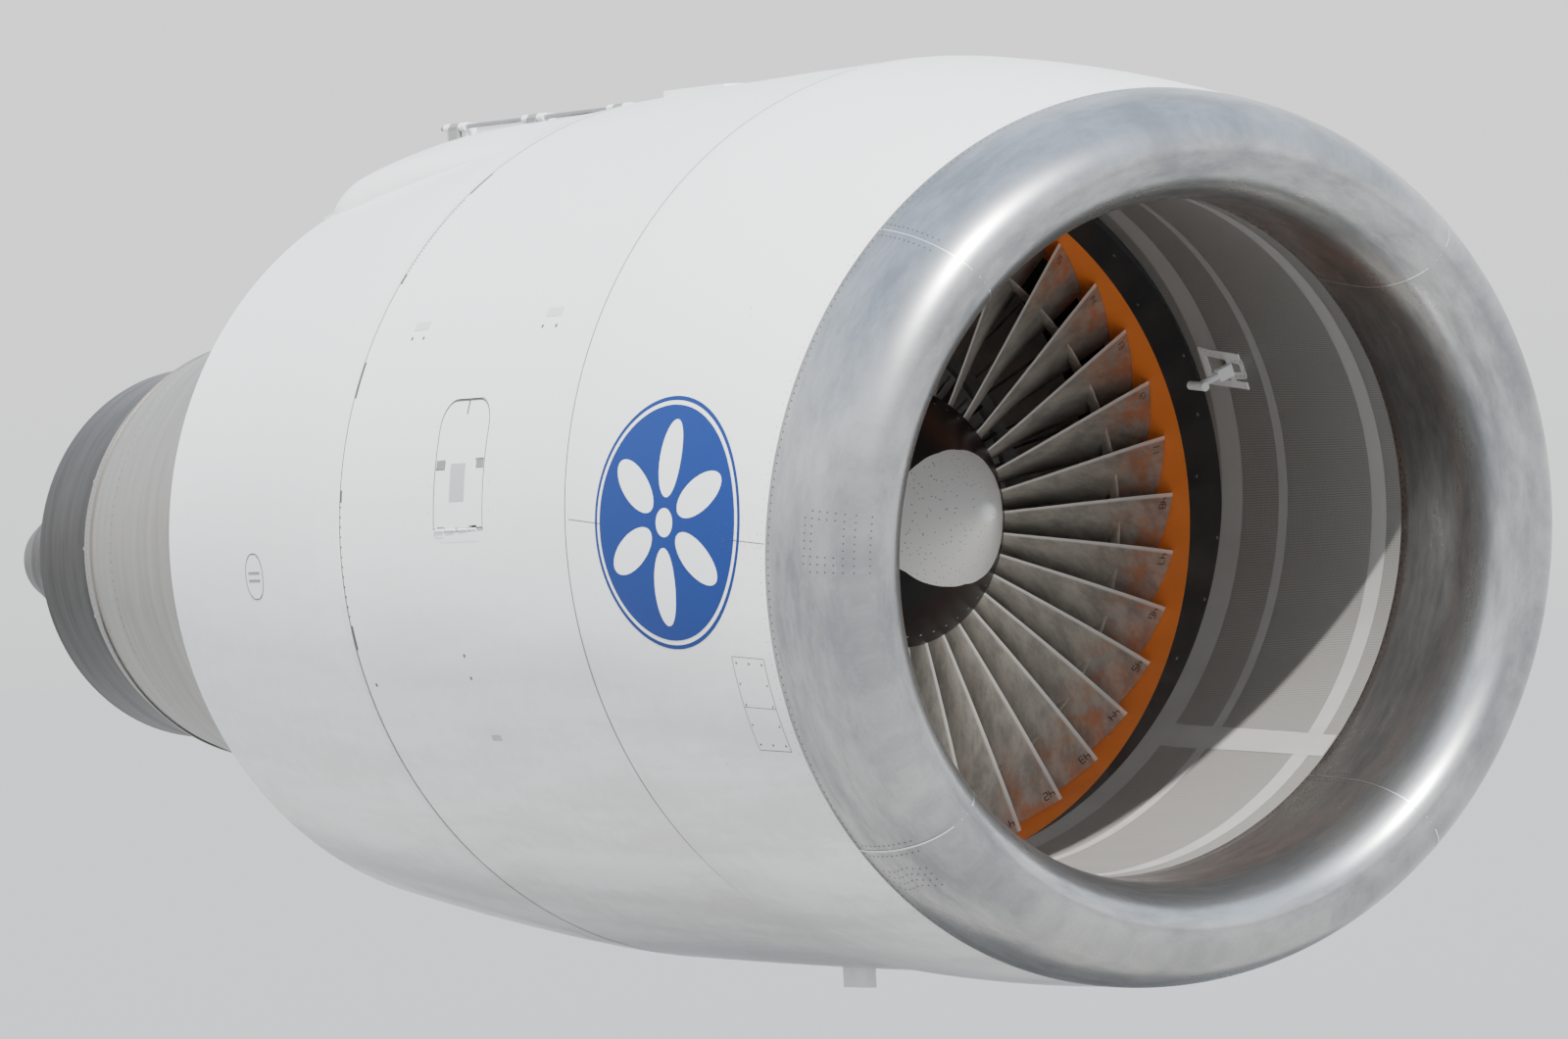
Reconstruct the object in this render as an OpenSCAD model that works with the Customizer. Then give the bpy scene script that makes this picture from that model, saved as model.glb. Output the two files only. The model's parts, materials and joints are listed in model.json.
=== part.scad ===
// Large turbofan jet engine in its nacelle, hung from a beam over its back.
// The engine axis runs along X, forward is +X, left is +Y and up is +Z.
// The origin is the middle of the hanging pad on top of the beam.
// Stations along the axis are measured from the fan face.

/* [Nacelle] */
// Radius of the outer skin at the inlet seam
skin_r = 1498; // [1460:1:1520]
// Radius of the outer skin at the reverser seam
mid_r = 1467; // [1440:1:1480]
// Outer radius of the fan nozzle edge
fan_exit_r = 1295; // [1280:1:1310]
// Radius of the core cowl at its rear edge
core_exit_r = 740; // [725:1:755]
// Outer radius of the exhaust nozzle edge
nozzle_r = 685; // [670:1:700]
// Station of the inlet seam
seam_x = 450; // [430:1:470]
// Station of the reverser seam
rev_x = -1115; // [-1130:1:-1100]
// Station of the fan nozzle edge
fan_exit_x = -2648; // [-2680:1:-2620]
// Station of the rear edge of the core cowl
core_exit_x = -4359; // [-4400:1:-4320]
// Station of the exhaust nozzle edge
nozzle_x = -4820; // [-4860:1:-4780]
// Thickness of the cowl skins
skin_t = 30; // [26:1:34]

/* [Inlet] */
// Downward tilt of the inlet, in degrees
droop = 5.6; // [5:0.1:6]
// Length from the seam to the foremost edge of the lip
lip_s = 1490; // [1470:1:1510]
// Radius of the foremost edge of the lip
lip_r = 1228; // [1215:1:1240]
// Length from the seam to the outer joint of the lip
lip_joint_s = 1116; // [1100:1:1130]
// Radius of the outer joint of the lip
lip_joint_r = 1434; // [1425:1:1440]
// Length from the seam to the inner joint of the lip
liner_s = 927; // [915:1:940]
// Radius of the inner joint of the lip
liner_r = 1103; // [1098:1:1108]
// Radius of the throat
throat_r = 1085; // [1080:1:1090]

/* [Fan] */
// Number of fan blades
blade_count = 38; // [36:1:40]
// Gap between the tips of the fan blades and the fan case
fan_gap = 11; // [8:1:15]
// Radius of the blade platforms
hub_r = 435; // [425:1:445]
// Inner radius of the fan case at the fan face
case_r = 1192; // [1190:1:1196]
// Step out from the fan face to the front band of the fan case
band_step = 16; // [12:1:20]
// Station of the front flange of the fan case
case_x = 182; // [176:1:188]
// Inner radius of the fan duct behind the vanes
duct_r = 1150; // [1146:1:1154]
// Length of the spinner from its base to its point
spinner_l = 610; // [590:1:630]

/* [Core] */
// Radius of the splitter edge
splitter_r = 692; // [688:1:700]
// Station of the splitter edge
splitter_x = -247; // [-250:1:-240]
// Station of the tower shaft
tower_x = -1040; // [-1050:1:-1030]
// Radius of the low pressure shaft
shaft_r = 75; // [70:1:80]
// Clearance of the running blade tips
tip_gap = 4; // [3:0.5:5]

/* [Hanging beam and hinges] */
// Width of the beam
beam_w = 350; // [340:1:356]
// Width of the keel below the beam
keel_w = 160; // [150:1:164]
// Station of the hanging pad
pad_x = -900; // [-950:1:-850]
// Depth of the pad below the line of the cowl skin
pad_drop = 13; // [8:1:14]
// Distance between the pad bolts along the engine
pad_bolt_x = 280; // [260:1:300]
// Distance between the pad bolts across the engine
pad_bolt_y = 160; // [150:1:170]
// Radius of the pad bolt holes
pad_bolt_r = 19; // [17:0.5:21]
// Distance of the cowl hinge line from the middle
hinge_y = 205; // [203:1:207]
// Depth of the cowl hinge line below the line of the cowl skin
hinge_drop = 58; // [56:1:60]
// Distance of the cowl edges from the middle at the top
edge_y = 236; // [232:1:240]
// Radius of the hinge pins
pin_r = 8; // [7:0.5:9]

/* [Reverser] */
// Blocker doors in each half
door_count = 3; // [3:1:3]
// Arc of each blocker door, in degrees
door_arc = 40; // [36:1:42]
// Length of each blocker door
door_l = 236; // [225:1:240]
// Half width of a blocker door at its free edge
door_tip = 240; // [230:1:250]
// Length of the cascade baskets
cascade_l = 520; // [500:1:540]
// Cascade baskets in each half
basket_count = 6; // [5:1:8]

/* [Hidden] */
$fn = 240;

// Sizes that follow from the ones above.
tip_r = case_r - fan_gap;
band_r = case_r + band_step;
pad_z = skin_r - pad_drop;
hinge_z = skin_r - hinge_drop;
keel_under = hinge_z - 178;

white = [0.9, 0.9, 0.91];
polished = [0.72, 0.73, 0.74];
bare = [0.62, 0.62, 0.61];
dark = [0.16, 0.17, 0.18];
steel = [0.45, 0.46, 0.47];
titanium = [0.36, 0.36, 0.37];
duct_grey = [0.5, 0.51, 0.5];

// Puts what is drawn about the engine axis at the height of the pad.
module engine() translate([-pad_x, 0, -pad_z]) children();

// Turns points of radius and station about the engine axis.
module ring(points) rotate([0, 90, 0]) rotate_extrude() polygon(points);

// The same over an arc, counted from the bottom over the left side.
module arc(points, from, to)
  rotate([0, 90, 0]) rotate_extrude(angle = to - from, start = from) polygon(points);

// A tube with plain ends.
module tube(r1, r0, x0, x1) ring([[r0, x0], [r1, x0], [r1, x1], [r0, x1]]);

// A bolted flange: a tube with a circle of bolts through its face.
module bolted(r1, r0, x0, x1, n, bolt_r = 7)
{
  tube(r1, r0, x0, x1);
  for (i = [0:n - 1])
    rotate([i * 360 / n, 0, 0])
      translate([x1, 0, (r0 + r1) / 2]) rotate([0, 90, 0]) cylinder(r = bolt_r, h = 9, $fn = 6);
}

// A row of flat blades from one radius to another, as a star about the axis.
module blade_row(x, length, r0, r1, count, width = 6)
{
  pitch = 360 / count;
  w0 = asin(width / 2 / r0);
  w1 = asin(width / 2 / r1);
  star = [for (i = [0:count - 1], c = [[r0, -w0], [r1, -w1], [r1, w1], [r0, w0]])
    [c[0] * cos(i * pitch + c[1]), c[0] * sin(i * pitch + c[1])]];
  translate([x, 0, 0]) rotate([0, 90, 0]) linear_extrude(length)
    difference()
    {
      polygon(star);
      circle(r = r0 - 8);
    }
}

// A ring of fixed vanes that hang inward from a case.
module vane_row(x, length, r0, r1, count, width = 6)
{
  pitch = 360 / count;
  w0 = asin(width / 2 / r0);
  w1 = asin(width / 2 / r1);
  gaps = [for (i = [0:count - 1], c = [[r1, w1], [r0, w0], [r0, pitch - w0], [r1, pitch - w1]])
    [c[0] * cos(i * pitch + c[1]), c[0] * sin(i * pitch + c[1])]];
  translate([x, 0, 0]) rotate([0, 90, 0]) linear_extrude(length)
    difference()
    {
      circle(r = r1 + 8);
      polygon(gaps);
    }
}

// A smooth line through points, each with its own slope towards its neighbours.
function spline(p, n) = [for (i = [0:len(p) - 2], k = [0:n - 1])
    let (a = p[max(i - 1, 0)], b = p[i], c = p[i + 1], d = p[min(i + 2, len(p) - 1)], t = k / n)
      0.5 * ((2 * b) + (c - a) * t + (2 * a - 5 * b + 4 * c - d) * t * t
      + (3 * b - a - 3 * c + d) * t * t * t), p[len(p) - 1]];

// Radius of the outer skin between the inlet seam and the fan nozzle.
function skin(x) = x > rev_x
  ? skin_r - (skin_r - mid_r) * pow((seam_x - x) / (seam_x - rev_x), 1.6)
  : mid_r - (mid_r - fan_exit_r) * pow((rev_x - x) / (rev_x - fan_exit_x), 1.25);

// Points of radius and station along the skin, set in by a depth.
function skin_line(x0, x1, n, depth = 0) =
  [for (i = [0:n]) let (x = x0 + (x1 - x0) * i / n) [skin(x) - depth, x]];

// Radius of the core cowl, which is also the inner wall of the fan duct.
core_line = spline([[745, -1130], [840, -1500], [920, -1900], [985, -2300], [1018, fan_exit_x]], 3);
aft_line = spline([[1018, fan_exit_x - 6], [975, -3000], [905, -3500], [core_exit_r + 45, -4150],
  [core_exit_r, core_exit_x]], 4);

function reversed(p) = [for (i = [len(p) - 1:-1:0]) p[i]];
function inset(p, depth) = [for (q = p) [q[0] - depth, q[1]]];
function skin_shape(line, depth) = concat(line, reversed(inset(line, depth)));

// Angle from the top at which the cowls end, so that the hinge fits beside them.
function edge_a(r) = asin(edge_y / r);

// Inlet

lip_outer = [for (i = [0:10]) let (a = 90 * i / 10)
  [lip_r + (lip_joint_r - lip_r) * pow(cos(a), 0.93),
   lip_joint_s + (lip_s - lip_joint_s) * sin(a)]];
lip_inner = [for (i = [1:8]) let (a = 90 - 90 * i / 8, throat_s = 1225)
  [lip_r - (lip_r - throat_r) * cos(a), throat_s + (lip_s - throat_s) * sin(a)]];
lip_line = concat(lip_outer, lip_inner, [[throat_r + 4, 1080], [liner_r, liner_s]]);
function barrel_r(s) = lip_joint_r + (skin_r - lip_joint_r) * (1 - pow(max(s, 0) / lip_joint_s, 2.1))
  - 7 * pow(min(s, 0) / 146, 2);
barrel_line = [for (s = [-160, -80, 0, 200, 400, 600, 800, 960, lip_joint_s - 2]) [barrel_r(s), s]];
liner_line = [[liner_r, liner_s], [1130, 600], [1162, 250], [1190, -20], [band_r, -430]];

// Places what is drawn about the inlet's own tilted axis, with the seam at zero.
module inlet() engine() translate([seam_x, 0, 0]) rotate([0, droop, 0]) children();

// Keeps what lies ahead of a station.
module ahead_of(x)
  intersection()
  {
    children();
    engine() translate([x, -2000, -2000]) cube([3000, 4000, 4000]);
  }

// Butt joints between the four pressings of the lip.
lip_joints = [42, 136, 225, 310.5];
// Joints between the two halves of the outer barrel, and the three panels of the liner.
barrel_joints = [92, 268];
liner_joints = [48.6, 168.6, 288.6];
joint_gap = 0.01;

// The same arc once between each joint and the next.
module between(joints, points)
  for (i = [0:len(joints) - 1])
    arc(points, joints[i] + joint_gap,
      (i + 1 < len(joints) ? joints[i + 1] : joints[0] + 360) - joint_gap);

module inlet_lip() color(polished) inlet()
  between(lip_joints, concat(lip_line, reversed([for (i = [0:len(lip_line) - 1])
    let (a = lip_line[max(i - 1, 0)], b = lip_line[min(i + 1, len(lip_line) - 1)], d = b - a)
      lip_line[i] + 6 * [-d[1], d[0]] / norm(d)])));

module inlet_outer_barrel() color(white)
  ahead_of(seam_x + 3) inlet() difference()
  {
    between(barrel_joints, skin_shape(barrel_line, 16));
    panel_plate(0, 2, 9.2);
  }

module inlet_inner_barrel() color(duct_grey)
{
  ahead_of(case_x + 1) difference()
  {
    inlet() between(liner_joints, concat([for (p = liner_line) [p[0], min(p[1], liner_s - 2)]],
      reversed([for (p = liner_line) [p[0] + 22, min(p[1], liner_s - 2)]])));
    engine() tube(band_r + 61, band_r + 7.7, case_x - 1, case_x + 13.3);
  }
  // flange that the panels are screwed to
  engine() tube(band_r + 60, band_r + 8, case_x + 1, case_x + 13);
}

module inlet_bulkheads() color(bare) inlet()
{
  ring([[liner_r + 26, liner_s - 40], [lip_joint_r - 40, lip_joint_s - 62],
    [lip_joint_r - 28, lip_joint_s - 62], [lip_joint_r - 28, lip_joint_s - 50], [liner_r + 26, liner_s - 28]]);
  ring([[band_r + 3, 10], [skin_r - 23, 190], [skin_r - 23, 202], [band_r + 3, 22]]);
}

// Angle and station of the temperature probe on the liner.
probe_a = 21;
probe_s = -80;

// Radius of the liner ahead of its bend at the seam, and behind it.
function liner_at(s) = s > -20 ? 1190 - (s + 20) * 28 / 270 : 1190 + (band_r - 1190) * (-20 - s) / 410;

// A strip of the probe's bracket, which lies close to the liner.
module probe_strip(stations, low, high, from, to)
  arc(concat([for (q = stations) [liner_at(q) - high, q]],
    [for (i = [len(stations) - 1:-1:0]) [liner_at(stations[i]) - low, stations[i]]]),
    90 + probe_a + from, 90 + probe_a + to);

module inlet_probe() color(white) inlet()
{
  for (side = [[-3.1, -1.9], [1.9, 3.1]])
    probe_strip([-245, -20, 5], 0.3, 5, side[0], side[1]);
  probe_strip([-95, -65], 1, 4, -2.5, 2.5);
  probe_strip([-240, -215], 1, 4, -2.5, 2.5);
  rotate([probe_a, 0, 0]) translate([probe_s, 0, 0])
  {
    translate([0, 1142, 0]) rotate([90, 0, 0]) cylinder(r = 11, h = 92, $fn = 32);
    translate([0, 1050, 0]) rotate([0, 90, 0]) cylinder(r = 15, h = 90, center = true, $fn = 32);
    translate([-13, 1134, -20]) cube([26, liner_at(probe_s) - 1136.5, 40]);
  }
}

// The small screwed panel low on the right side of the outer barrel.
panel_s = [895, 1060];
panel_a = [282.8, 295.3];

module panel_plate(grow, out, depth)
{
  line = [for (p = [panel_s[0] - grow, 950, 1005, panel_s[1] + grow]) [barrel_r(p) + out, p]];
  arc(skin_shape(line, depth), panel_a[0] - grow / 26, panel_a[1] + grow / 26);
}

module service_panel() color(white) inlet() difference()
{
  panel_plate(-2, 0.8, 8);
  for (s = [912, 977, 1043], a = [283.6, 289, 294.5])
    rotate([a, 0, 0]) translate([s, 0, -(skin_r + 102)]) cylinder(r = 5, h = 300, $fn = 24);
}

// Fan case and frame

// Height of the frame's flanges above the duct wall.
frame_flange = 96;

module fan_case() color(dark) engine() difference()
{
  union()
  {
    ring([[band_r, case_x], [band_r + 92, case_x], [band_r + 92, case_x - 14],
      [band_r + 38, case_x - 14], [band_r + 32, 40], [case_r + 70, 0], [case_r + 70, -300],
      [duct_r + 42 + (case_r - 22 - duct_r) * 80 / 188, -340], [duct_r + 26, -740], [duct_r, -740],
      [duct_r, -420], [case_r - 22, -232], [case_r - 4, -232], [case_r + 14, 0], [case_r, 0]]);
    bolted(duct_r + frame_flange, duct_r + 20, -728, -740, 2);
  }
  for (i = [0:35])
    rotate([i * 10 + 5, 0, 0]) translate([case_x - 30, 0, band_r + 70]) rotate([0, 90, 0])
      cylinder(r = 7, h = 60, $fn = 24);
}

module rub_strip() color([0.86, 0.42, 0.12]) engine()
  ring([[case_r, 0], [case_r + 13.6, -0.4], [case_r - 4.4, -231.6], [case_r - 22, -231.6]]);

module outlet_vanes() color(steel) engine()
  vane_row(-640, 110, 722, duct_r - 8.5, 76, 9);

module fan_frame() color(steel) engine() difference()
{
  union()
  {
  ring([[duct_r, -741], [duct_r + frame_flange, -741], [duct_r + frame_flange, -755],
    [duct_r + 30, -755], [duct_r + 30, -1096], [duct_r + frame_flange - 16, -1096],
    [duct_r + frame_flange - 16, -1108], [duct_r + 14, -1108]]);
  ring([[700, -662], [722, -662], [745, -1100], [690, -1100], [660, -900], [672, -662]]);
  ring([[430, -662], [440, -662], [400, -900], [320, -1100], [300, -1100], [300, -700], [430, -700]]);
  for (i = [0:11])
    rotate([i * 30 + 15, 0, 0]) translate([-1010, -14, 340]) cube([200, 28, duct_r - 330]);
  }
  translate([tower_x, 0, -500]) cylinder(r = 24, h = 400, $fn = 48);
}

module booster_case() color(titanium) engine()
{
  ring([[splitter_r, splitter_x], [splitter_r + 8, splitter_x - 60], [722, -660], [680, -660],
    [668, -640], [splitter_r - 16, splitter_x - 60]]);
}

module booster_stators() color(steel) engine()
  for (x = [-345, -445, -545])
    vane_row(x, 34, 512, 655, 40, 6);

// Core engine

// Inner radius of the compressor case at a station.
function comp_r(x) = 355 - (-1110 - x) * 26.6 / 732;

module compressor_case() color(titanium) engine()
{
  ring([[comp_r(-1110), -1110], [420, -1110], [420, -1122], [372, -1122], [352, -1830], [420, -1830],
    [420, -1842], [comp_r(-1842), -1842]]);
  for (x = [-1250, -1400, -1550, -1700])
    tube(392, comp_r(x) + 8, x - 10, x);
}

module compressor_stators() color(steel) engine()
  for (i = [0:8])
    vane_row(-1195 - i * 72, 24, 264 + i * 4, 343 - i * 2.6, 32 + i, 4);

// Stems of the fuel nozzles, or the holes for them.
module nozzle_stems(r)
  for (i = [0:23])
    rotate([i * 15, 0, 0]) translate([-1944, 0, 360]) cylinder(r = r, h = 160, $fn = 32);

module nozzle_heads(r)
  for (i = [0:23])
    rotate([i * 15, 0, 0]) translate([-1985, 0, 365]) rotate([0, 90, 0]) cylinder(r = r, h = 50, $fn = 32);

module combustor_case() color(bare) engine() difference()
{
  union()
  {
  ring([[331, -1843], [424, -1843], [424, -1857], [500, -1920], [500, -2220], [530, -2220],
    [530, -2234], [470, -2234], [488, -2200], [488, -1926], [331, -1866]]);
  bolted(560, 496, -2234, -2222, 48);
  }
  nozzle_stems(9.4);
}

module combustor_liner() color(steel) engine() difference()
{
  ring([[300, -1960], [430, -1960], [450, -1990], [440, -2225], [434, -2225], [443, -1994],
    [426, -1966], [304, -1966], [286, -1994], [300, -2225], [294, -2225], [279, -1990]]);
  nozzle_heads(17.4);
}

module fuel_nozzles() color(bare) engine()
{
  nozzle_stems(9);
  nozzle_heads(17);
  for (i = [0:23])
    rotate([i * 15, 0, 0]) translate([-1944, 0, 501]) cylinder(r = 22, h = 12, $fn = 32);
}

module turbine_case() color(bare) engine()
{
  ring([[470, -2236], [545, -2236], [545, -2250], [492, -2250], [492, -2450], [585, -2474],
    [690, -3120], [740, -3120], [740, -3134], [660, -3134], [560, -2540], [551, -2480], [470, -2462]]);
  for (x = [-2620, -2760, -2900, -3040])
    tube(640 + (-2600 - x) * 0.16, 585 + (-2600 - x) * 0.16, x - 12, x);
}

module turbine_stators() color(steel) engine()
{
  vane_row(-2266, 38, 352, 461, 36, 9);
  vane_row(-2372, 40, 352, 461, 40, 9);
  for (i = [0:3])
    vane_row(-2585 - i * 140, 44, 342, 545 + i * 24, 44, 7);
}

module turbine_rear_frame() color(bare) engine()
{
  ring([[640, -3135], [740, -3135], [740, -3149], [664, -3149], [664, -3310], [700, -3310],
    [700, -3324], [640, -3324]]);
  ring([[300, -3180], [330, -3180], [330, -3324], [150, -3324], [150, -3300], [300, -3300]]);
  for (i = [0:13])
    rotate([i * 360 / 14, 0, 0]) translate([-3290, -8, 325]) cube([90, 16, 325]);
}

// Exhaust

module aft_core_cowl() color(bare) engine() difference()
{
  union()
  {
    ring(skin_shape(aft_line, 8));
    tube(930, 706, -3324, -3310);
    tube(768, core_exit_r - 28, core_exit_x + 80, core_exit_x + 92);
  }
  translate([-3500, -keel_w / 2 - 14, 600]) cube([3500 + fan_exit_x + 10, keel_w + 28, 600]);
}

nozzle_line = [[700, -3326], [660, -3330], [700, -3900], [712, -4300]];

module core_nozzle() color(dark) engine()
  ring([[652, -3326], [698, -3326], [698, -3338], [664, -3338], [704, -3900], [706, core_exit_x + 60],
    [718, core_exit_x - 2], [708, core_exit_x - 140], [nozzle_r, nozzle_x], [nozzle_r - 5, nozzle_x],
    [690, -4500], [696, -3900], [652, -3338]]);

plug_line = spline([[330, -3326], [400, -3600], [448, -4000], [440, -4500], [390, -4900],
  [300, -5400], [212, -5820]], 3);

module exhaust_plug() color(dark) engine()
  ring(concat(plug_line, [for (i = [1:7]) let (a = 24 + 66 * i / 7) [178 * cos(a) + 3 * (1 - i / 7), -5900 - 178 * sin(a)]],
    [[0.01, -6070], [150, -5880], [205, -5780], [310, -5300], [400, -4700], [420, -4200], [380, -3650], [310, -3326]]));

// Hanging beam, mounts and hinges

module hanger_beam() color(white) engine() difference()
{
  union()
  {
    translate([0, beam_w / 2, 0]) rotate([90, 0, 0]) linear_extrude(beam_w)
      polygon([for (p = [[440, -80], [440, 0], [-1100, 0], [-2300, -15], [-3450, -260], [-3450, -320],
        [-2800, -210], [-2700, -190], [-1120, -190], [-1000, -128], [280, -128]]) [p[0], hinge_z + p[1]]]);
    translate([0, keel_w / 2, 0]) rotate([90, 0, 0]) linear_extrude(keel_w)
      polygon([[-860, keel_under + 58], [-860, keel_under], [-1125, keel_under], [-1125, 850],
        [-1900, 975], [-2600, 1042], [-3240, 960], [-3420, 960], [-3450, keel_under - 102],
        [-2500, keel_under - 7], [-1000, keel_under + 58]]);
    arc(concat(skin_line(seam_x - 4, rev_x + 2, 6), reversed(inset(skin_line(seam_x - 4, rev_x + 2, 6), 60))),
      180 - asin(beam_w / 2 / skin_r), 180 + asin(beam_w / 2 / skin_r));
    translate([pad_x - 200, -130, hinge_z - 40]) cube([400, 260, pad_z - hinge_z + 40]);
    for (side = [-1, 1])
    {
      for (x = fan_hinges, d = [-52, 52])
        hinge_lug(side, x + d);
      for (x = rev_hinges, d = [-52, 52])
        hinge_lug(side, x + d);
    }
  }
  for (sx = [-1, 1], sy = [-1, 1])
    translate([pad_x + sx * pad_bolt_x / 2, sy * pad_bolt_y / 2, pad_z - 185]) cylinder(r = pad_bolt_r, h = 300);
  for (side = [-1, 1])
    translate([-3000, side * hinge_y, hinge_z]) rotate([0, 90, 0]) cylinder(r = pin_r + 0.05, h = 3600, $fn = 48);
}

// Stations of the hinges of the fan cowls and of the reverser halves.
fan_hinges = [340, -80, -520, -960];
rev_hinges = [-1266, -1850, -2400];

// A lug on the beam with a knuckle round the hinge line.
module hinge_lug(side, x)
{
  translate([x - 20, side * hinge_y, hinge_z]) rotate([0, 90, 0]) cylinder(r = 15, h = 40, $fn = 48);
  translate([x - 20, side > 0 ? beam_w / 2 - 8 : -hinge_y, hinge_z - 72])
    cube([40, hinge_y - beam_w / 2 + 8, 84]);
}

module hinge_pins() color(steel) engine()
  for (side = [-1, 1])
  {
    translate([-1060, side * hinge_y, hinge_z]) rotate([0, 90, 0]) cylinder(r = pin_r, h = 1480, $fn = 48);
    translate([-2500, side * hinge_y, hinge_z]) rotate([0, 90, 0]) cylinder(r = pin_r, h = 1340, $fn = 48);
  }

module forward_mount() color(steel) engine()
{
  difference()
  {
    union()
    {
      translate([-1010, -60, duct_r]) cube([140, 120, keel_under - duct_r]);
      translate([-1010, -120, duct_r]) cube([140, 240, 66]);
    }
    translate([-1100, 0, 0]) rotate([0, 90, 0]) cylinder(r = duct_r + 30, h = 300);
    for (side = [-1, 1])
      translate([-940, side * 94, duct_r - 150]) cylinder(r = 15, h = 300, $fn = 48);
  }
}

module aft_mount() color(steel) engine()
{
  translate([-3340, -86, 880]) cube([90, 172, 80]);
  for (side = [-1, 1])
    translate([-3310, side * 60 - 14, 700]) cube([40, 28, 190]);
}

// Accessories on the core

module accessory_gearbox() color(bare) engine() difference()
{
  union()
  {
    translate([-1560, -240, -690]) cube([180, 480, 130]);
    translate([-1390, -42, -664]) cube([385, 84, 64]);
    for (side = [-1, 1])
      translate([-1480, side * 190 - 15, -561]) cube([50, 30, 300]);
  }
  translate([-1600, 0, 0]) rotate([0, 90, 0]) cylinder(r = 373, h = 400);
}

module accessories() color(steel) engine()
{
  translate([-1380, -140, -625]) rotate([0, 90, 0]) cylinder(r = 82, h = 190);
  translate([-1380, 120, -625]) rotate([0, 90, 0]) cylinder(r = 64, h = 150);
  translate([-1780, -120, -625]) rotate([0, 90, 0]) cylinder(r = 78, h = 220);
  translate([-1740, 110, -625]) rotate([0, 90, 0]) cylinder(r = 58, h = 180);
}

module oil_tank() color(bare) engine()
  rotate([38, 0, 0])
  {
    translate([-420, duct_r + 175, -190]) cylinder(r = 62, h = 380);
    for (z = [-120, 120])
      translate([-440, duct_r + 95, z - 15]) cube([40, 60, 30]);
    translate([-420, duct_r + 175, 190]) cylinder(r = 24, h = 22);
  }

module engine_pipes() color(steel) engine()
{
  for (a = [37.5, 67.5, 112.5, 247.5, 292.5, 322.5])
    rotate([a, 0, 0]) translate([-2200, 0, -515]) rotate([0, 90, 0]) cylinder(r = 13, h = 330, $fn = 48);
  for (a = [60, 300])
    rotate([a, 0, 0]) translate([-2600, 0, -655]) rotate([0, 90, 0]) cylinder(r = 30, h = 760, $fn = 48);
  for (x = [-1650, -1340])
    rotate([0, 90, 0]) translate([0, 0, x]) rotate_extrude(angle = 150, start = 105) translate([455, 0]) circle(r = 16, $fn = 48);
}

module shaft_bearings() color(steel) engine()
{
  tube(165, shaft_r + 0.05, -320, -260);
  tube(165, 140, -700, -315);
  ring([[140, -640], [300, -700], [300, -712], [140, -700]]);
  tube(149.8, shaft_r + 0.05, -3322, -3262);
}

module drain_mast() color(white) engine()
{
  translate([-330, 0, -skin(-330) - 2]) mirror([0, 0, 1])
    linear_extrude(72) polygon([[-95, -12], [60, -16], [95, 0], [60, 16], [-95, 12]]);
  translate([-375, -9, -skin(-330) - 10]) cube([30, 18, skin(-330) + 10 - duct_r - 50.5]);
}

// Rotors

module spinner() color(dark) engine()
  ring(concat([[0.01, spinner_l + 12]], [for (i = [1:5]) let (a = 57 * i / 5) [44 * sin(a), spinner_l - 34 + 46 * cos(a)]],
    [[hub_r - 30, 62], [hub_r, 24], [hub_r, 20.5], [hub_r - 20, 20.5], [hub_r - 46, 60], [48, spinner_l - 70], [0.01, spinner_l - 56]]));

platform_slope = 20 / 225;
function platform(x) = hub_r + (20 - x) * platform_slope;

module fan_disk() color(titanium) engine()
{
  ring([[shaft_r, -40], [shaft_r, -170], [120, -170], [150, -130], [380, -120], [platform(-235) - 12, -225],
    [platform(-235), -235], [platform(20), 20], [hub_r - 36, 20], [370, -60], [150, -70], [120, -40]]);
}

blade_stagger = [18, 64];
blade_chord = [200, 256];
shroud_r = [958, 982];
shroud_w = 44;

// Points of the blade section at a radius, on the cylinder of that radius.
function blade_section(r, wide) =
  let (
    u = (r - hub_r) / (tip_r - hub_r),
    g = blade_stagger[0] + (blade_stagger[1] - blade_stagger[0]) * u,
    c = blade_chord[0] + (blade_chord[1] - blade_chord[0]) * u,
    thick = 17 - 11 * u,
    bend = c * (0.13 - 0.11 * u),
    mid_x = 23 - 103 * pow(max(u, 0), 1.2) - c * cos(g) / 2,
    half = 180 / blade_count - 0.02,
    p = [for (q = [[0, 0], [0.2, -1], [0.42, -1], [0.58, -1], [0.82, -1], [1, 0], [0.82, 1], [0.58, 1], [0.42, 1], [0.2, 1]])
      let (
        along = (0.5 - q[0]) * c,
        off = bend * 4 * q[0] * (1 - q[0]) - q[1] * thick * 2 * sqrt(q[0] * (1 - q[0])) / 2)
      [along * cos(g) + off * sin(g), along * sin(g) - off * cos(g)]],
    wing = [for (i = [0:9])
      !wide ? [p[i][0], p[i][1] * 180 / PI / r]
      : i == 2 || i == 8 ? [shroud_w / 2, i == 2 ? -half : half]
      : i == 3 || i == 7 ? [-shroud_w / 2, i == 3 ? -half : half]
      : [i == 1 || i == 9 ? shroud_w / 2 : i == 4 || i == 6 ? -shroud_w / 2 : p[i][0],
         (i == 0 || i == 5 ? p[i][1] : i == 1 || i == 9 ? side_at(p, shroud_w / 2, i == 9)
         : side_at(p, -shroud_w / 2, i == 6)) * 180 / PI / r]])
  [for (w = wing)
    let (x = mid_x + w[0],
      rr = r < hub_r + 1 ? platform(x) + 0.6 : r > tip_r - 1 ? tip_r + (x + 80) * 0.075 : r)
      [x, rr * cos(w[1]), rr * sin(w[1])]];

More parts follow.
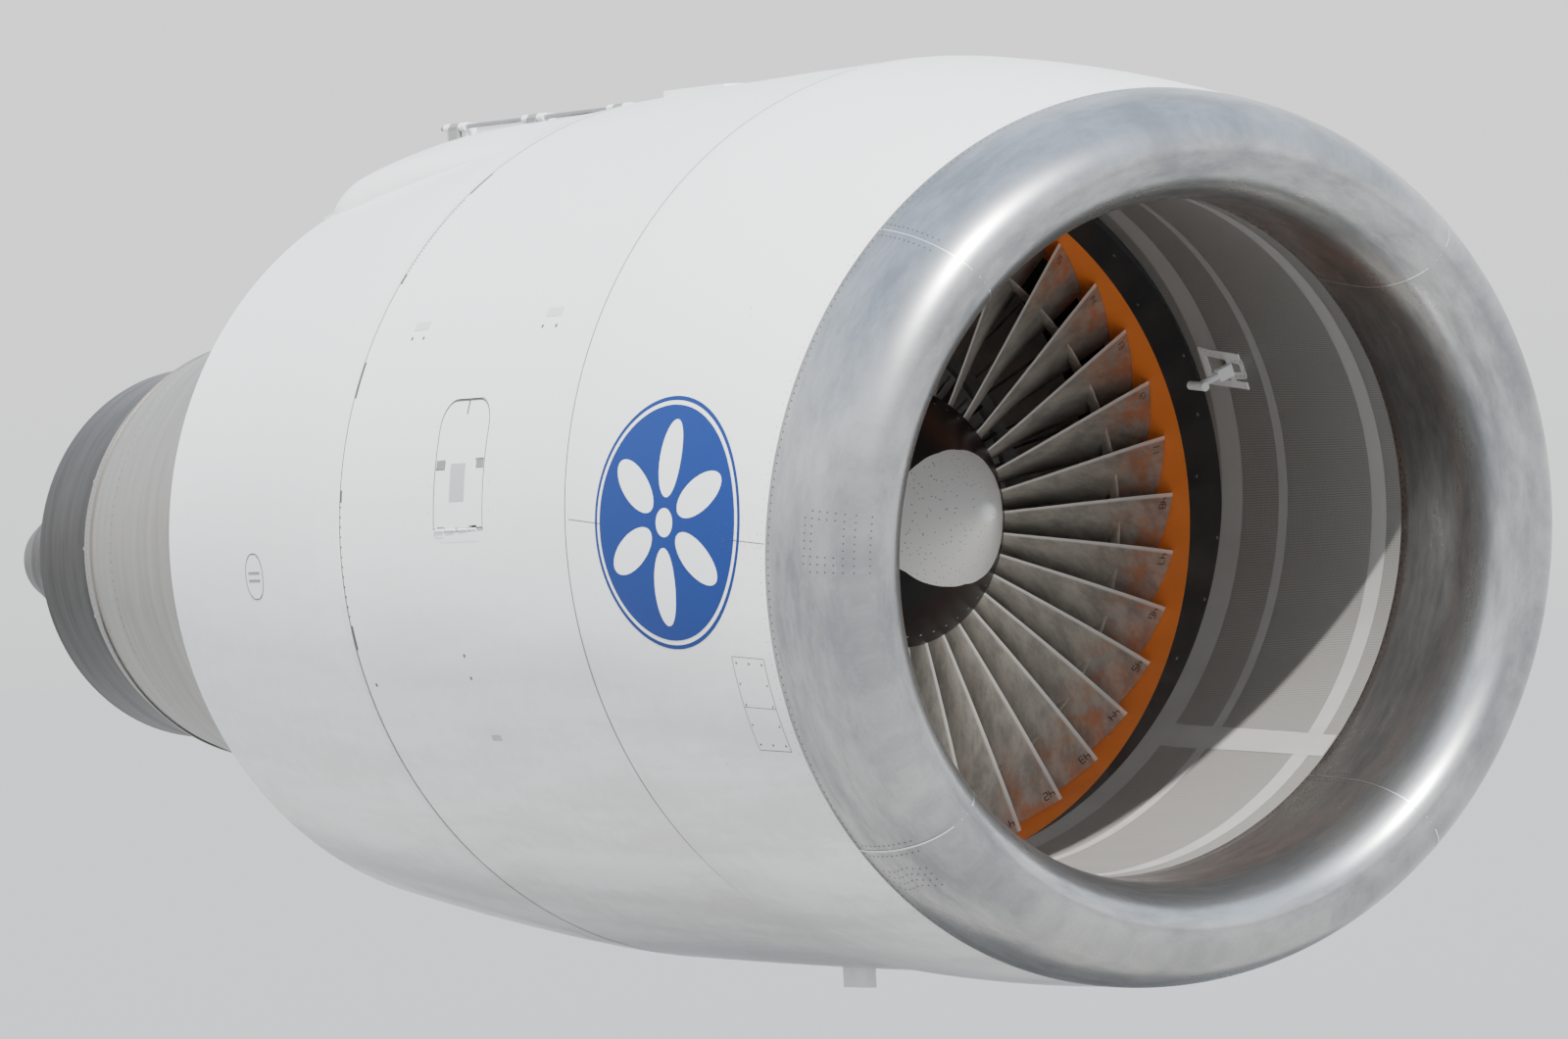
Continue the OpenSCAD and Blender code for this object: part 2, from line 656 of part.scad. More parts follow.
// Tangential place of one face of a section at a distance from its middle.
function side_at(p, x, front) =
  let (i = front ? (x > 0 ? 8 : 6) : (x > 0 ? 2 : 3), a = p[front ? (x > 0 ? 9 : 7) : (x > 0 ? 1 : 3)],
    b = p[front ? (x > 0 ? 8 : 6) : (x > 0 ? 2 : 4)])
  a[1] + (b[1] - a[1]) * (x - a[0]) / (b[0] - a[0]);

blade_stations = [[hub_r, false], [600, false], [790, false], [shroud_r[0] - 4, false], [shroud_r[0], true],
  [shroud_r[1], true], [shroud_r[1] + 4, false], [tip_r, false]];

module fan_blade()
{
  sections = [for (s = blade_stations) blade_section(s[0], s[1])];
  n = 10;
  last = len(sections) - 1;
  points = [for (s = sections, p = s) p];
  sides = [for (k = [0:last - 1], i = [0:n - 1])
    let (a = k * n + i, b = k * n + (i + 1) % n, c = b + n, d = a + n)
      each [[a, b, c], [a, c, d]]];
  polyhedron(points, concat(sides, end_cap(0, true), end_cap(last * n, false)));
}

// Triangles that close a section of ten points, from its front edge to its rear edge.
function end_cap(o, down) =
  let (t = [[0, 9, 1], [1, 9, 8], [1, 8, 2], [2, 8, 7], [2, 7, 3], [3, 7, 6], [3, 6, 4], [4, 6, 5]])
  [for (q = t) down ? [q[0] + o, q[1] + o, q[2] + o] : [q[2] + o, q[1] + o, q[0] + o]];

// Angle of the first blade, so that one front edge lies level.
blade_phase = -5.5;

module fan_blades() color(titanium) engine()
  for (i = [0:blade_count - 1])
    rotate([blade_phase + i * 360 / blade_count, 0, 0]) fan_blade();

module booster_rotor() color(titanium) engine()
{
  ring([[platform(-235) - 2, -236], [platform(-235) - 14, -236], [440, -300], [440, -590], [200, -600],
    [200, -612], [500, -612], [506, -300], [platform(-235), -240]]);
  for (i = [0:3])
    blade_row(-290 - i * 100, 40, 503, 653, 38, 7);
}

module low_shaft() color(steel) engine()
{
  ring([[shaft_r - 16, 0], [shaft_r, 0], [shaft_r, -3340], [shaft_r - 16, -3340]]);
  tube(112, shaft_r, -36, -24);
}

module low_turbine_rotor() color(titanium) engine()
{
  ring([[shaft_r, -2820], [120, -2820], [130, -2800], [333, -2520], [333, -3110], [318, -3110],
    [318, -2560], [140, -2840], [shaft_r, -2850]]);
  for (i = [0:3])
    blade_row(-2530 - i * 140, 44, 330, 550 + i * 24 - tip_gap, 46, 7);
}

module compressor_rotor() color(titanium) engine()
{
  ring([[90, -1086], [116, -1086], [116, -1100], [106, -1112], [106, -1150], [240, -1132],
    [258, -1136], [292, -1825], [120, -1900], [105, -2240], [90, -2240], [90, -2225],
    [108, -1885], [276, -1810], [240, -1190], [90, -1180]]);
  for (i = [0:8])
    blade_row(-1165 - i * 72, 24, 258 + i * 4, 336 - i * 3, 30 + i, 4);
}

module high_turbine_rotor() color(titanium) engine()
{
  for (x = [-2320, -2430])
  {
    ring([[105, x - 10], [105, x + 60], [140, x + 52], [190, x + 30], [353, x + 36], [353, x], [190, x + 8]]);
    blade_row(x + 4, 30, 350, 470 - tip_gap - 2, 40, 9);
  }
  tube(108, 90, -2450, -2241);
}

module tower_shaft() color(steel) engine()
{
  translate([tower_x, 0, -580]) cylinder(r = 17, h = 440, $fn = 48);
  translate([tower_x, 0, -598]) cylinder(r1 = 30, r2 = 24, h = 20, $fn = 48);
  translate([tower_x, 0, -144]) cylinder(r1 = 24, r2 = 36, h = 20, $fn = 48);
}

// Fan cowls

// The shell of a fan cowl on the left side.
module cowl_shell(depth = skin_t)
{
  line = skin_line(seam_x, rev_x + 3, 8);
  arc(concat(line, reversed(inset(line, depth))), 0.09, 180 - edge_a(skin_r));
}

// Hinge fittings of a left door: a knuckle on the line and an arm to the skin.
module door_knuckle(x, reach)
{
  // height at which the end of the arm is inside the skin
  inner = sqrt(pow(skin(x) - skin_t, 2) - pow(hinge_y + reach - 2, 2));
  low = min(hinge_z - 15, inner - 12);
  difference()
  {
    union()
    {
      translate([x - 30, hinge_y, hinge_z]) rotate([0, 90, 0]) cylinder(r = 15, h = 60, $fn = 48);
      translate([x - 30, hinge_y - 2, low]) cube([60, reach, max(hinge_z + 5, inner + 6) - low]);
    }
    translate([x - 40, hinge_y, hinge_z]) rotate([0, 90, 0]) cylinder(r = pin_r + 0.05, h = 80, $fn = 48);
  }
}

// Stations of the latches along the bottom, and the distance of their hinge line from the split.
latch_x = [250, -80, -560, -860];
rev_latch_x = [-1400, -1750, -2100];
latch_back = 76;
rev_latch_back = 46;
// Gap between the free end of each handle and the split.
latch_gap = 6;

// Tilt of a row of latches, so that they share one straight hinge line in the skin.
function latch_tilt(xs) = let (n = len(xs) - 1) atan((skin(xs[0]) - skin(xs[n])) / (xs[0] - xs[n]));

module latch_row(xs)
  translate([xs[0], 0, -skin(xs[0])]) rotate([0, latch_tilt(xs), 0])
    for (x = xs)
      translate([(x - xs[0]) / cos(latch_tilt(xs)), 0, 0]) children();

// The pocket for a flush latch in the right half, drawn for a half that is mirrored later.
module latch_pocket(back)
  mirror([0, 1, 0]) translate([-48, -back - 10, -14]) cube([96, back + 10, 36]);

// A flush latch handle, hinged at its right end.
module latch_handle(back)
{
  translate([-40, -back, 3]) cube([80, back - latch_gap, 9]);
  translate([-40, -back, 7.5]) rotate([0, 90, 0]) cylinder(r = 5, h = 80, $fn = 32);
}

module fan_cowl(side)
  difference()
  {
    union()
    {
      cowl_shell();
      for (x = fan_hinges)
        door_knuckle(x, 80);
      // stiffening frames inside the skin
      for (x = [400, -330, -700, -1060])
        arc([[skin(x) - skin_t - 46, x - 14], [skin(x) - skin_t + 4, x - 14], [skin(x) - skin_t + 4, x + 14],
          [skin(x) - skin_t - 46, x + 14]], 4, 166);
    }
    if (side < 0)
      latch_row(latch_x) latch_pocket(latch_back);
    translate([-440, -30, -skin_r - 102]) cube([220, 60, 200]);
  }

module fan_cowl_left() color(white) engine() fan_cowl(1);

// The access door on the right cowl: its outline seen from the side.
door_x = [-440, -100];
door_z = [34, 456];

module door_outline(grow)
{
  translate([door_x[0] - grow, door_z[0] - grow])
    square([door_x[1] - door_x[0] + 2 * grow, door_z[1] - door_z[0] - 90 + 2 * grow]);
  for (x = [door_x[0] + 90, door_x[1] - 90])
    translate([x, door_z[1] - 90]) circle(r = 90 + grow);
  translate([door_x[0] + 90, door_z[1] - 110]) square([door_x[1] - door_x[0] - 180, 110 + grow]);
}

module door_prism(grow) translate([0, 298 - skin_r, 0]) rotate([90, 0, 0]) linear_extrude(400) door_outline(grow);

// Hinge line of the access door, in the skin at its lower edge.
access_y = -skin(-270) + 1;
access_z = 32.5;

module fan_cowl_right() color(white) engine()
{
  difference()
  {
    mirror([0, 1, 0]) fan_cowl(-1);
    door_prism(3);
    translate([door_x[0], access_y, access_z]) rotate([0, 90, 0]) cylinder(r = 7.5, h = door_x[1] - door_x[0], $fn = 48);
  }
  difference()
  {
    for (x = [-390, -170])
    {
      translate([x - 25, access_y, access_z]) rotate([0, 90, 0]) cylinder(r = 5.5, h = 50, $fn = 48);
      translate([x - 25, access_y, access_z - 22]) cube([50, skin_t, 20]);
    }
    translate([-500, access_y, access_z]) rotate([0, 90, 0]) cylinder(r = 3.05, h = 500, $fn = 48);
  }
}

// The two paddle latches at the sides of the access door.
side_latch_x = [door_x[0] + 12, door_x[1] - 66];
side_latch_a = -9.5;

module at_side_latch() rotate([side_latch_a, 0, 0]) translate([0, -skin(-270), 0]) children();

module access_door() color(white) engine()
{
  difference()
  {
    intersection()
    {
      mirror([0, 1, 0]) cowl_shell(14);
      door_prism(0);
    }
    for (x = [-390, -170])
      translate([x - 27, access_y - 12, access_z - 12]) cube([54, 26, 24]);
    for (x = side_latch_x)
      at_side_latch() translate([x - 4, -6, -17]) cube([62, 15, 34]);
  }
  translate([-430, access_y, access_z]) rotate([0, 90, 0]) cylinder(r = 3, h = 320, $fn = 48);
  for (x = [-350, -265])
    translate([x, access_y, access_z]) rotate([0, 90, 0]) cylinder(r = 5.5, h = 60, $fn = 48);
}

module door_latches() color(steel) engine()
  for (x = side_latch_x)
    at_side_latch()
    {
      translate([x, 1.5, -13]) cube([54, 5, 26]);
      translate([x - 3, 4, -10.5]) rotate([0, 90, 0]) cylinder(r = 3, h = 60, $fn = 48);
    }

module fan_cowl_latches() color(steel) engine()
  latch_row(latch_x) latch_handle(latch_back);

// Thrust reverser

door_hinge_x = -1290;
door_hinge_r = duct_r - 24;
panel_line = [[duct_r + 26, -1236], [duct_r + 30, -1500], [1215, -1900], [1258, -2300],
  [fan_exit_r - 6, fan_exit_x]];

// What the two walls of a half leave free for the wall round the core.
module beside_walls()
{
  translate([-2700, -200, 0]) cube([1700, 306.3, 1300]);
  translate([-2700, -200, -1300]) cube([1700, 254.3, 1300]);
}

// Room below the wall round the core.
module core_room() ring([[0.01, -1100], [733, -1100], [733, -1130], [828, -1500], [908, -1900],
  [973, -2300], [1004, -2660], [0.01, -2660]]);

cascade_x = -1234;
cascade_in = 1264;
cascade_out = 1380;

module reverser_half(side)
{
  // front torque ring
  arc([[duct_r + 22, -1118], [1236, -1118], [1436, -1130], [1436, -1140], [1240, -1190], [1240, -1232],
    [duct_r + 22, -1232]], 3, 180 - edge_a(1436));
  // inner wall of the duct
  difference()
  {
    arc(skin_shape(core_line, 12), 2, 176);
    beside_walls();
  }
  // rear ring of the cascades
  difference()
  {
    arc([[cascade_in - 2, -1236 - cascade_l], [cascade_out + 2, -1236 - cascade_l],
      [cascade_out - 10, -1258 - cascade_l], [cascade_in - 2, -1258 - cascade_l]], 2.21, 172);
    translate([-2000, 0, 1000]) cube([500, 228.3, 500]);
  }
  // upper wall of the duct, with its beam and hinges
  difference()
  {
    union()
    {
      translate([-2640, 92, 700]) cube([1510, 14, 500]);
      translate([-2640, 92, 1150]) cube([1510, 128, 90]);
      translate([-1258 - cascade_l, 180, 1200]) cube([22, 48, 130]);
      for (x = rev_hinges)
      {
        translate([x - 30, 186, 1200]) cube([60, 38, hinge_z - 1200]);
        translate([x - 30, hinge_y, hinge_z]) rotate([0, 90, 0]) cylinder(r = 15, h = 60, $fn = 48);
      }
    }
    core_room();
    ring([[duct_r + 21.7, -1110], [1500, -1110], [1500, -1232.3], [duct_r + 21.7, -1232.3]]);
    for (x = rev_hinges)
      translate([x - 40, hinge_y, hinge_z]) rotate([0, 90, 0]) cylinder(r = pin_r + 0.05, h = 80, $fn = 48);
  }
  // lower wall of the duct, with its beam along the bottom split
  difference()
  {
    union()
    {
      translate([-2640, 40, -1190]) cube([1510, 14, 420]);
      arc(concat(skin_line(rev_x - 3, fan_exit_x + 8, 8), [[1180, fan_exit_x + 8], [1180, rev_x - 3]]), 0.25, 2.2);
    }
    core_room();
    if (side < 0)
      latch_row(rev_latch_x) latch_pocket(rev_latch_back);
  }
}

// Cascade baskets, side by side: turning vanes between two ribs each.
module cascades()
{
  pitch = (166 - 14) / basket_count;
  rib = 0.6;
  for (b = [0:basket_count - 1])
    let (from = 14 + b * pitch, to = from + pitch - 0.1)
    {
      for (i = [0:9])
        let (x = cascade_x - 10 - i * (cascade_l - 20) / 9)
          arc([[cascade_in + 4, x + 9], [cascade_out - 2, x - 2], [cascade_out - 2, x - 7],
            [cascade_in + 4, x + 4]], from + rib / 2, to - rib / 2);
      for (a = [from, to - rib])
        arc([[cascade_in, cascade_x], [cascade_out, cascade_x], [cascade_out, cascade_x - cascade_l],
          [cascade_in, cascade_x - cascade_l]], a, a + rib);
    }
}

// The arc of each blocker door, and the middle of each.
function door_mid(i) = 14 + (166 - 14) / door_count * (i + 0.5);

door_half = door_hinge_r * tan(door_arc / 2);

// A door narrows towards its free edge, because that edge swings in beside the smaller core.
module door_block(i, grow) rotate([door_mid(i) - 90, 0, 0])
  translate([0, 1260, 0]) rotate([90, 0, 0]) linear_extrude(360)
    polygon([for (side = [-1, 1], c = side > 0 ? [0, 1, 2] : [2, 1, 0])
      [door_hinge_x + [8 + 3 * grow, -40, -door_l - grow][c], side * ([door_half, door_half, door_tip][c] + grow)]]);

module door_pins(i, r, length) rotate([door_mid(i) - 90, 0, 0])
  for (side = [-1, 1])
    translate([door_hinge_x - 6, door_hinge_r - 2, side > 0 ? door_half - 20 : -door_half + 20 - length])
      cylinder(r = r, h = length, $fn = 32);

module sliding_cowl() difference()
{
  union()
  {
    arc(concat(skin_line(rev_x - 3, fan_exit_x, 8),
      reversed(inset(skin_line(rev_x - 3, fan_exit_x + 60, 8), 14))), 2.6, 180 - edge_a(mid_r) - 0.8);
    arc(concat(panel_line, reversed([for (p = panel_line) [p[0] + (p[1] < -2600 ? 5 : 18), p[1]]])), 3, 168);
    for (i = [0:door_count - 1], side = [-1, 1])
      rotate([door_mid(i) - 90, 0, 0]) translate([door_hinge_x - 40, door_hinge_r - 24, side * (door_half + 22) - 14])
        cube([60, 62, 28]);
  }
  for (i = [0:door_count - 1])
  {
    door_block(i, 5);
    door_pins(i, 8.05, 60);
  }
}

module blocker_door(i)
{
  intersection()
  {
    arc([[duct_r + 28, -1240], [duct_r + 32, -1500], [duct_r + 50, -1750], [duct_r + 66, -1750],
      [duct_r + 48, -1500], [duct_r + 42, -1240]], 3, 168);
    door_block(i, 0);
  }
  door_pins(i, 8, 44);
}

module reverser_half_left() color(duct_grey) engine() reverser_half(1);
module reverser_half_right() color(duct_grey) engine() mirror([0, 1, 0]) reverser_half(-1);
module cascades_left() color(steel) engine() cascades();
module cascades_right() color(steel) engine() mirror([0, 1, 0]) cascades();
module sliding_cowl_left() color(white) engine() sliding_cowl();
module sliding_cowl_right() color(white) engine() mirror([0, 1, 0]) sliding_cowl();
module blocker_door_l1() color(duct_grey) engine() blocker_door(0);
module blocker_door_l2() color(duct_grey) engine() blocker_door(1);
module blocker_door_l3() color(duct_grey) engine() blocker_door(2);
module blocker_door_r1() color(duct_grey) engine() mirror([0, 1, 0]) blocker_door(0);
module blocker_door_r2() color(duct_grey) engine() mirror([0, 1, 0]) blocker_door(1);
module blocker_door_r3() color(duct_grey) engine() mirror([0, 1, 0]) blocker_door(2);

module reverser_latches() color(steel) engine()
  latch_row(rev_latch_x) latch_handle(rev_latch_back);

inlet_lip();
inlet_outer_barrel();
inlet_inner_barrel();
inlet_bulkheads();
inlet_probe();
service_panel();
fan_case();
rub_strip();
outlet_vanes();
fan_frame();
booster_case();
booster_stators();
compressor_case();
compressor_stators();
combustor_case();
combustor_liner();
fuel_nozzles();
turbine_case();
turbine_stators();
turbine_rear_frame();
aft_core_cowl();
core_nozzle();
exhaust_plug();
hanger_beam();
forward_mount();
aft_mount();
hinge_pins();
accessory_gearbox();
accessories();
oil_tank();
engine_pipes();
shaft_bearings();
drain_mast();
spinner();
fan_disk();
fan_blades();
booster_rotor();
low_shaft();
low_turbine_rotor();
compressor_rotor();
high_turbine_rotor();
tower_shaft();
fan_cowl_left();
fan_cowl_right();
fan_cowl_latches();
access_door();
door_latches();
reverser_half_left();
reverser_half_right();
cascades_left();
cascades_right();
sliding_cowl_left();
sliding_cowl_right();
reverser_latches();
blocker_door_l1();
blocker_door_l2();
blocker_door_l3();
blocker_door_r1();
blocker_door_r2();
blocker_door_r3();
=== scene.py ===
# %% [markdown]
# A large turbofan engine hangs from its back and is seen from its front right.
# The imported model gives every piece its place. This lesson gives the pieces their
# finish, and remakes the ones whose curve the eye reads first: lip, blades and skins.

# %% Load the frame
import json
import math
import random
import bmesh
import bpy
from mathutils import Matrix, Vector


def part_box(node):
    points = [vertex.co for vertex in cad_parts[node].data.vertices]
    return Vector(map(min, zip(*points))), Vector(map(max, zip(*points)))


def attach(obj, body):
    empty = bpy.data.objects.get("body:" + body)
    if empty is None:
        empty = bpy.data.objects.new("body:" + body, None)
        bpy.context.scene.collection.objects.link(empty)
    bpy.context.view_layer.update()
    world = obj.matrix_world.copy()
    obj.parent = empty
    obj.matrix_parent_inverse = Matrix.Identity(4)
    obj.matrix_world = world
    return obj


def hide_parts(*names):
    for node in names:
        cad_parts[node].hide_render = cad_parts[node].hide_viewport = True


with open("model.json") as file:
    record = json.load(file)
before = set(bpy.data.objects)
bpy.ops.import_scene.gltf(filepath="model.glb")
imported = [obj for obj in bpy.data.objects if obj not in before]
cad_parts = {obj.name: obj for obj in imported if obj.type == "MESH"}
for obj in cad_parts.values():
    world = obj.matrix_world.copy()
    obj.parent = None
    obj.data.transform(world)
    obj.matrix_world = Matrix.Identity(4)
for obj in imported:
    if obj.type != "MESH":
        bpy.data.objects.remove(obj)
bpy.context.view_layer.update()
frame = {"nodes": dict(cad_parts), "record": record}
nodes = frame["nodes"]
print("nodes", len(nodes))

# %% [markdown]
# Everything on the engine is round about one axis, so the axis comes first. The exhaust
# nozzle is a plain ring about it, and the rub strip starts at the fan face.

# %% The engine axis
nozzle_low, nozzle_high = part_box("core_nozzle")
strip_low, strip_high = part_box("rub_strip")
AXIS_Z = (nozzle_low[2] + nozzle_high[2]) / 2
FAN_X = strip_high[0]
SEAM = 0.450
DROOP = math.radians(5.6)


def station(x, r, angle):
    """A place by station, radius and angle in degrees, from the bottom over the left side."""
    a = math.radians(angle)
    return Vector((FAN_X + x, r * math.sin(a), AXIS_Z - r * math.cos(a)))


def drooped(s, r, angle):
    """The same, along the inlet's own axis, which droops from the seam."""
    a = math.radians(angle)
    p = Vector((s, r * math.sin(a), -r * math.cos(a)))
    p = Matrix.Rotation(DROOP, 3, "Y") @ p
    return Vector((FAN_X + SEAM, 0, AXIS_Z)) + p


print("fan face", round(FAN_X, 4), "axis height", round(AXIS_Z, 4))

# %% [markdown]
# The camera stands 34 m away, level with the axis, and looks with a long lens. Its place
# was worked out from the rings of the photograph: seams, lip, fan and nozzle.

# %% Camera
CAMERA_AZ = math.radians(58.71)
CAMERA_ROLL = math.radians(-2.983)
CAMERA_SIDE = 0.3495
CAMERA_RISE = 0.0075
CAMERA_DISTANCE = 34.0
LENS = 235.76

back = Vector((math.sin(CAMERA_AZ), -math.cos(CAMERA_AZ), 0))
level = Vector((math.cos(CAMERA_AZ), math.sin(CAMERA_AZ), 0))
right = level * math.cos(CAMERA_ROLL) + Vector((0, 0, 1)) * math.sin(CAMERA_ROLL)
up = back.cross(right)
camera = bpy.data.objects.new("camera", bpy.data.cameras.new("camera"))
camera.data.lens = LENS
camera.data.sensor_width = 36
camera.data.clip_end = 600
centre = Vector((FAN_X, 0, AXIS_Z))
turn = Matrix((right, up, back)).transposed().to_4x4()
camera.matrix_world = Matrix.Translation(
    centre + back * CAMERA_DISTANCE - right * CAMERA_SIDE - up * CAMERA_RISE
) @ turn
bpy.context.scene.collection.objects.link(camera)
bpy.context.scene.camera = camera

# %% [markdown]
# The floor is one wide pale dish whose rim sweeps up all round, beyond the camera. So no
# horizon shows, and the engine can be looked at from every side.

# %% Floor and backdrop


def new_object(name, mesh_or_bm, material=None, smooth=True):
    """Makes an object from a mesh or a bmesh, at the origin."""
    if isinstance(mesh_or_bm, bmesh.types.BMesh):
        mesh = bpy.data.meshes.new(name)
        mesh_or_bm.to_mesh(mesh)
        mesh_or_bm.free()
    else:
        mesh = mesh_or_bm
    if smooth:
        mesh.polygons.foreach_set("use_smooth", [True] * len(mesh.polygons))
    if material:
        mesh.materials.append(material)
    obj = bpy.data.objects.new(name, mesh)
    bpy.context.scene.collection.objects.link(obj)
    return obj


def principled(name, color, rough=0.5, metal=0.0, **inputs):
    """A material with one Principled shader and its plain values."""
    m = bpy.data.materials.new(name)
    m.use_nodes = True
    shader = m.node_tree.nodes["Principled BSDF"]
    shader.inputs["Base Color"].default_value = (*color, 1)
    shader.inputs["Roughness"].default_value = rough
    shader.inputs["Metallic"].default_value = metal
    for key, value in inputs.items():
        shader.inputs[key.replace("_", " ")].default_value = value
    return m


FLOOR_Z = AXIS_Z - 2.1
FLOOR_R, RIM_R = 120.0, 28.0
profile = [(0, 0), (8, 0), (24, 0), (60, 0), (FLOOR_R, 0)]
for a in range(8, 73, 8):
    rise = math.radians(a)
    profile.append((FLOOR_R + RIM_R * math.sin(rise), RIM_R * (1 - math.cos(rise))))
floor_bm = bmesh.new()
line = [floor_bm.verts.new((FAN_X + r, 0, FLOOR_Z + h)) for r, h in profile]
edges = [floor_bm.edges.new(pair) for pair in zip(line, line[1:])]
bmesh.ops.spin(
    floor_bm, geom=line + edges, cent=(FAN_X, 0, FLOOR_Z), axis=(0, 0, 1),
    angle=2 * math.pi, steps=96, use_merge=True, use_duplicate=False,
)
bmesh.ops.remove_doubles(floor_bm, verts=floor_bm.verts, dist=1e-4)
floor_bm.normal_update()
if floor_bm.faces[:][0].normal.z < 0:
    bmesh.ops.reverse_faces(floor_bm, faces=floor_bm.faces)
floor = new_object("floor", floor_bm, principled("floor_grey", (0.30, 0.30, 0.296), 0.8))

# %% [markdown]
# The light is a bright hazy sky with a sun high on the engine's right front: it reaches
# into the inlet and lights the lower half of the liner and the lower blades.

# %% Sky and sun
world = bpy.data.worlds.new("sky")
bpy.context.scene.world = world
world.use_nodes = True
tree = world.node_tree
coords = tree.nodes.new("ShaderNodeTexCoord")
split = tree.nodes.new("ShaderNodeSeparateXYZ")
ramp = tree.nodes.new("ShaderNodeValToRGB")
tree.links.new(coords.outputs["Generated"], split.inputs[0])
tree.links.new(split.outputs["Z"], ramp.inputs[0])
tree.links.new(ramp.outputs[0], tree.nodes["Background"].inputs[0])
ramp.color_ramp.elements[0].color = (0.42, 0.42, 0.41, 1)
ramp.color_ramp.elements[1].color = (0.52, 0.66, 0.88, 1)
sky_bands = ((0.02, (0.80, 0.82, 0.84, 1)), (0.30, (0.90, 0.92, 0.95, 1)), (0.6, (0.70, 0.80, 0.94, 1)))
for place, color in sky_bands:
    ramp.color_ramp.elements.new(place).color = color
tree.nodes["Background"].inputs[1].default_value = 1.65

sun = bpy.data.objects.new("sun", bpy.data.lights.new("sun", "SUN"))
sun.data.energy = 9.5
sun.data.angle = math.radians(1.2)
sun.data.color = (1.0, 0.97, 0.92)
sun.rotation_euler = Vector((1, -0.466, 1.283)).to_track_quat("Z", "Y").to_euler()
bpy.context.scene.collection.objects.link(sun)

# %% [markdown]
# Materials share a few effects, so each effect is one node group: soft dirt that gathers
# low down, fine brushed streaks, and small specks. Each takes its place from Object
# coordinates, so it stays on the piece when the piece moves.

# %% Node groups


def new_group(name, inputs, outputs):
    g = bpy.data.node_groups.new(name, "ShaderNodeTree")
    for label, kind, value in inputs:
        socket = g.interface.new_socket(label, in_out="INPUT", socket_type=kind)
        if value is not None:
            socket.default_value = value
    for label, kind in outputs:
        g.interface.new_socket(label, in_out="OUTPUT", socket_type=kind)
    return g, g.nodes.new("NodeGroupInput"), g.nodes.new("NodeGroupOutput")


def link(tree, a, b):
    tree.links.new(a, b)


def math_node(tree, op, a, b=None, clamp=False):
    n = tree.nodes.new("ShaderNodeMath")
    n.operation = op
    n.use_clamp = clamp
    for i, v in enumerate((a, b)):
        if v is None:
            continue
        if isinstance(v, (int, float)):
            n.inputs[i].default_value = v
        else:
            tree.links.new(v, n.inputs[i])
    return n.outputs[0]


def mix_color(tree, fac, a, b, mode="MIX"):
    n = tree.nodes.new("ShaderNodeMix")
    n.data_type = "RGBA"
    n.blend_type = mode
    for socket, v in ((n.inputs[0], fac), (n.inputs[6], a), (n.inputs[7], b)):
        if isinstance(v, (int, float)):
            socket.default_value = v
        elif isinstance(v, tuple):
            socket.default_value = (*v, 1)
        else:
            tree.links.new(v, socket)
    return n.outputs[2]


def noise(tree, vector, scale, detail=4.0, rough=0.5):
    n = tree.nodes.new("ShaderNodeTexNoise")
    n.inputs["Scale"].default_value = scale
    n.inputs["Detail"].default_value = detail
    n.inputs["Roughness"].default_value = rough
    tree.links.new(vector, n.inputs["Vector"])
    return n.outputs["Fac"]


def ramped(tree, value, low, high):
    n = tree.nodes.new("ShaderNodeMapRange")
    n.interpolation_type = "SMOOTHSTEP"
    n.inputs["From Min"].default_value = low
    n.inputs["From Max"].default_value = high
    tree.links.new(value, n.inputs["Value"])
    return n.outputs["Result"]


def round_coords(tree, source):
    """Station, side and height of a place, and its radius about the engine axis."""
    split = tree.nodes.new("ShaderNodeSeparateXYZ")
    link(tree, source, split.inputs[0])
    up_z = math_node(tree, "SUBTRACT", split.outputs["Z"], AXIS_Z)
    squares = [math_node(tree, "POWER", v, 2.0) for v in (split.outputs["Y"], up_z)]
    radius = math_node(tree, "SQRT", math_node(tree, "ADD", *squares))
    return {"x": split.outputs["X"], "y": split.outputs["Y"], "z": up_z, "radius": radius}


def seamless(tree, place, along, around):
    """A vector for patterns that closes on itself round the axis."""
    join = tree.nodes.new("ShaderNodeCombineXYZ")
    forward = math_node(tree, "ADD", place["x"], math_node(tree, "MULTIPLY", place["radius"], 0.7))
    link(tree, math_node(tree, "MULTIPLY", forward, along), join.inputs[0])
    for i, key in ((1, "y"), (2, "z")):
        share = math_node(tree, "DIVIDE", place[key], place["radius"])
        link(tree, math_node(tree, "MULTIPLY", share, around), join.inputs[i])
    return join.outputs[0]


dirt, dirt_in, dirt_out = new_group(
    "low_dirt",
    [("Color", "NodeSocketColor", (0.8, 0.8, 0.8, 1)), ("Dirt", "NodeSocketColor", (0.3, 0.28, 0.25, 1)),
     ("Amount", "NodeSocketFloat", 0.5)],
    [("Color", "NodeSocketColor")],
)
dirt_coords = dirt.nodes.new("ShaderNodeTexCoord")
dirt_round = round_coords(dirt, dirt_coords.outputs["Object"])
dirt_streaks = noise(dirt, seamless(dirt, dirt_round, 0.35, 3.0), 2.2, 6, 0.62)
dirt_fine = noise(dirt, dirt_coords.outputs["Object"], 14.0, 6, 0.65)
dirt_low = ramped(dirt, math_node(dirt, "MULTIPLY", dirt_round["z"], -1.0), -0.7, 1.4)
dirt_both = math_node(dirt, "ADD", dirt_streaks, math_node(dirt, "MULTIPLY", dirt_fine, 0.35))
dirt_mask = math_node(dirt, "MULTIPLY", ramped(dirt, dirt_both, 0.52, 0.86), dirt_low)
dirt_mask = math_node(dirt, "ADD", dirt_mask, math_node(dirt, "MULTIPLY", dirt_low, 0.22))
dirt_mask = math_node(dirt, "MULTIPLY", dirt_mask, dirt_in.outputs["Amount"], True)
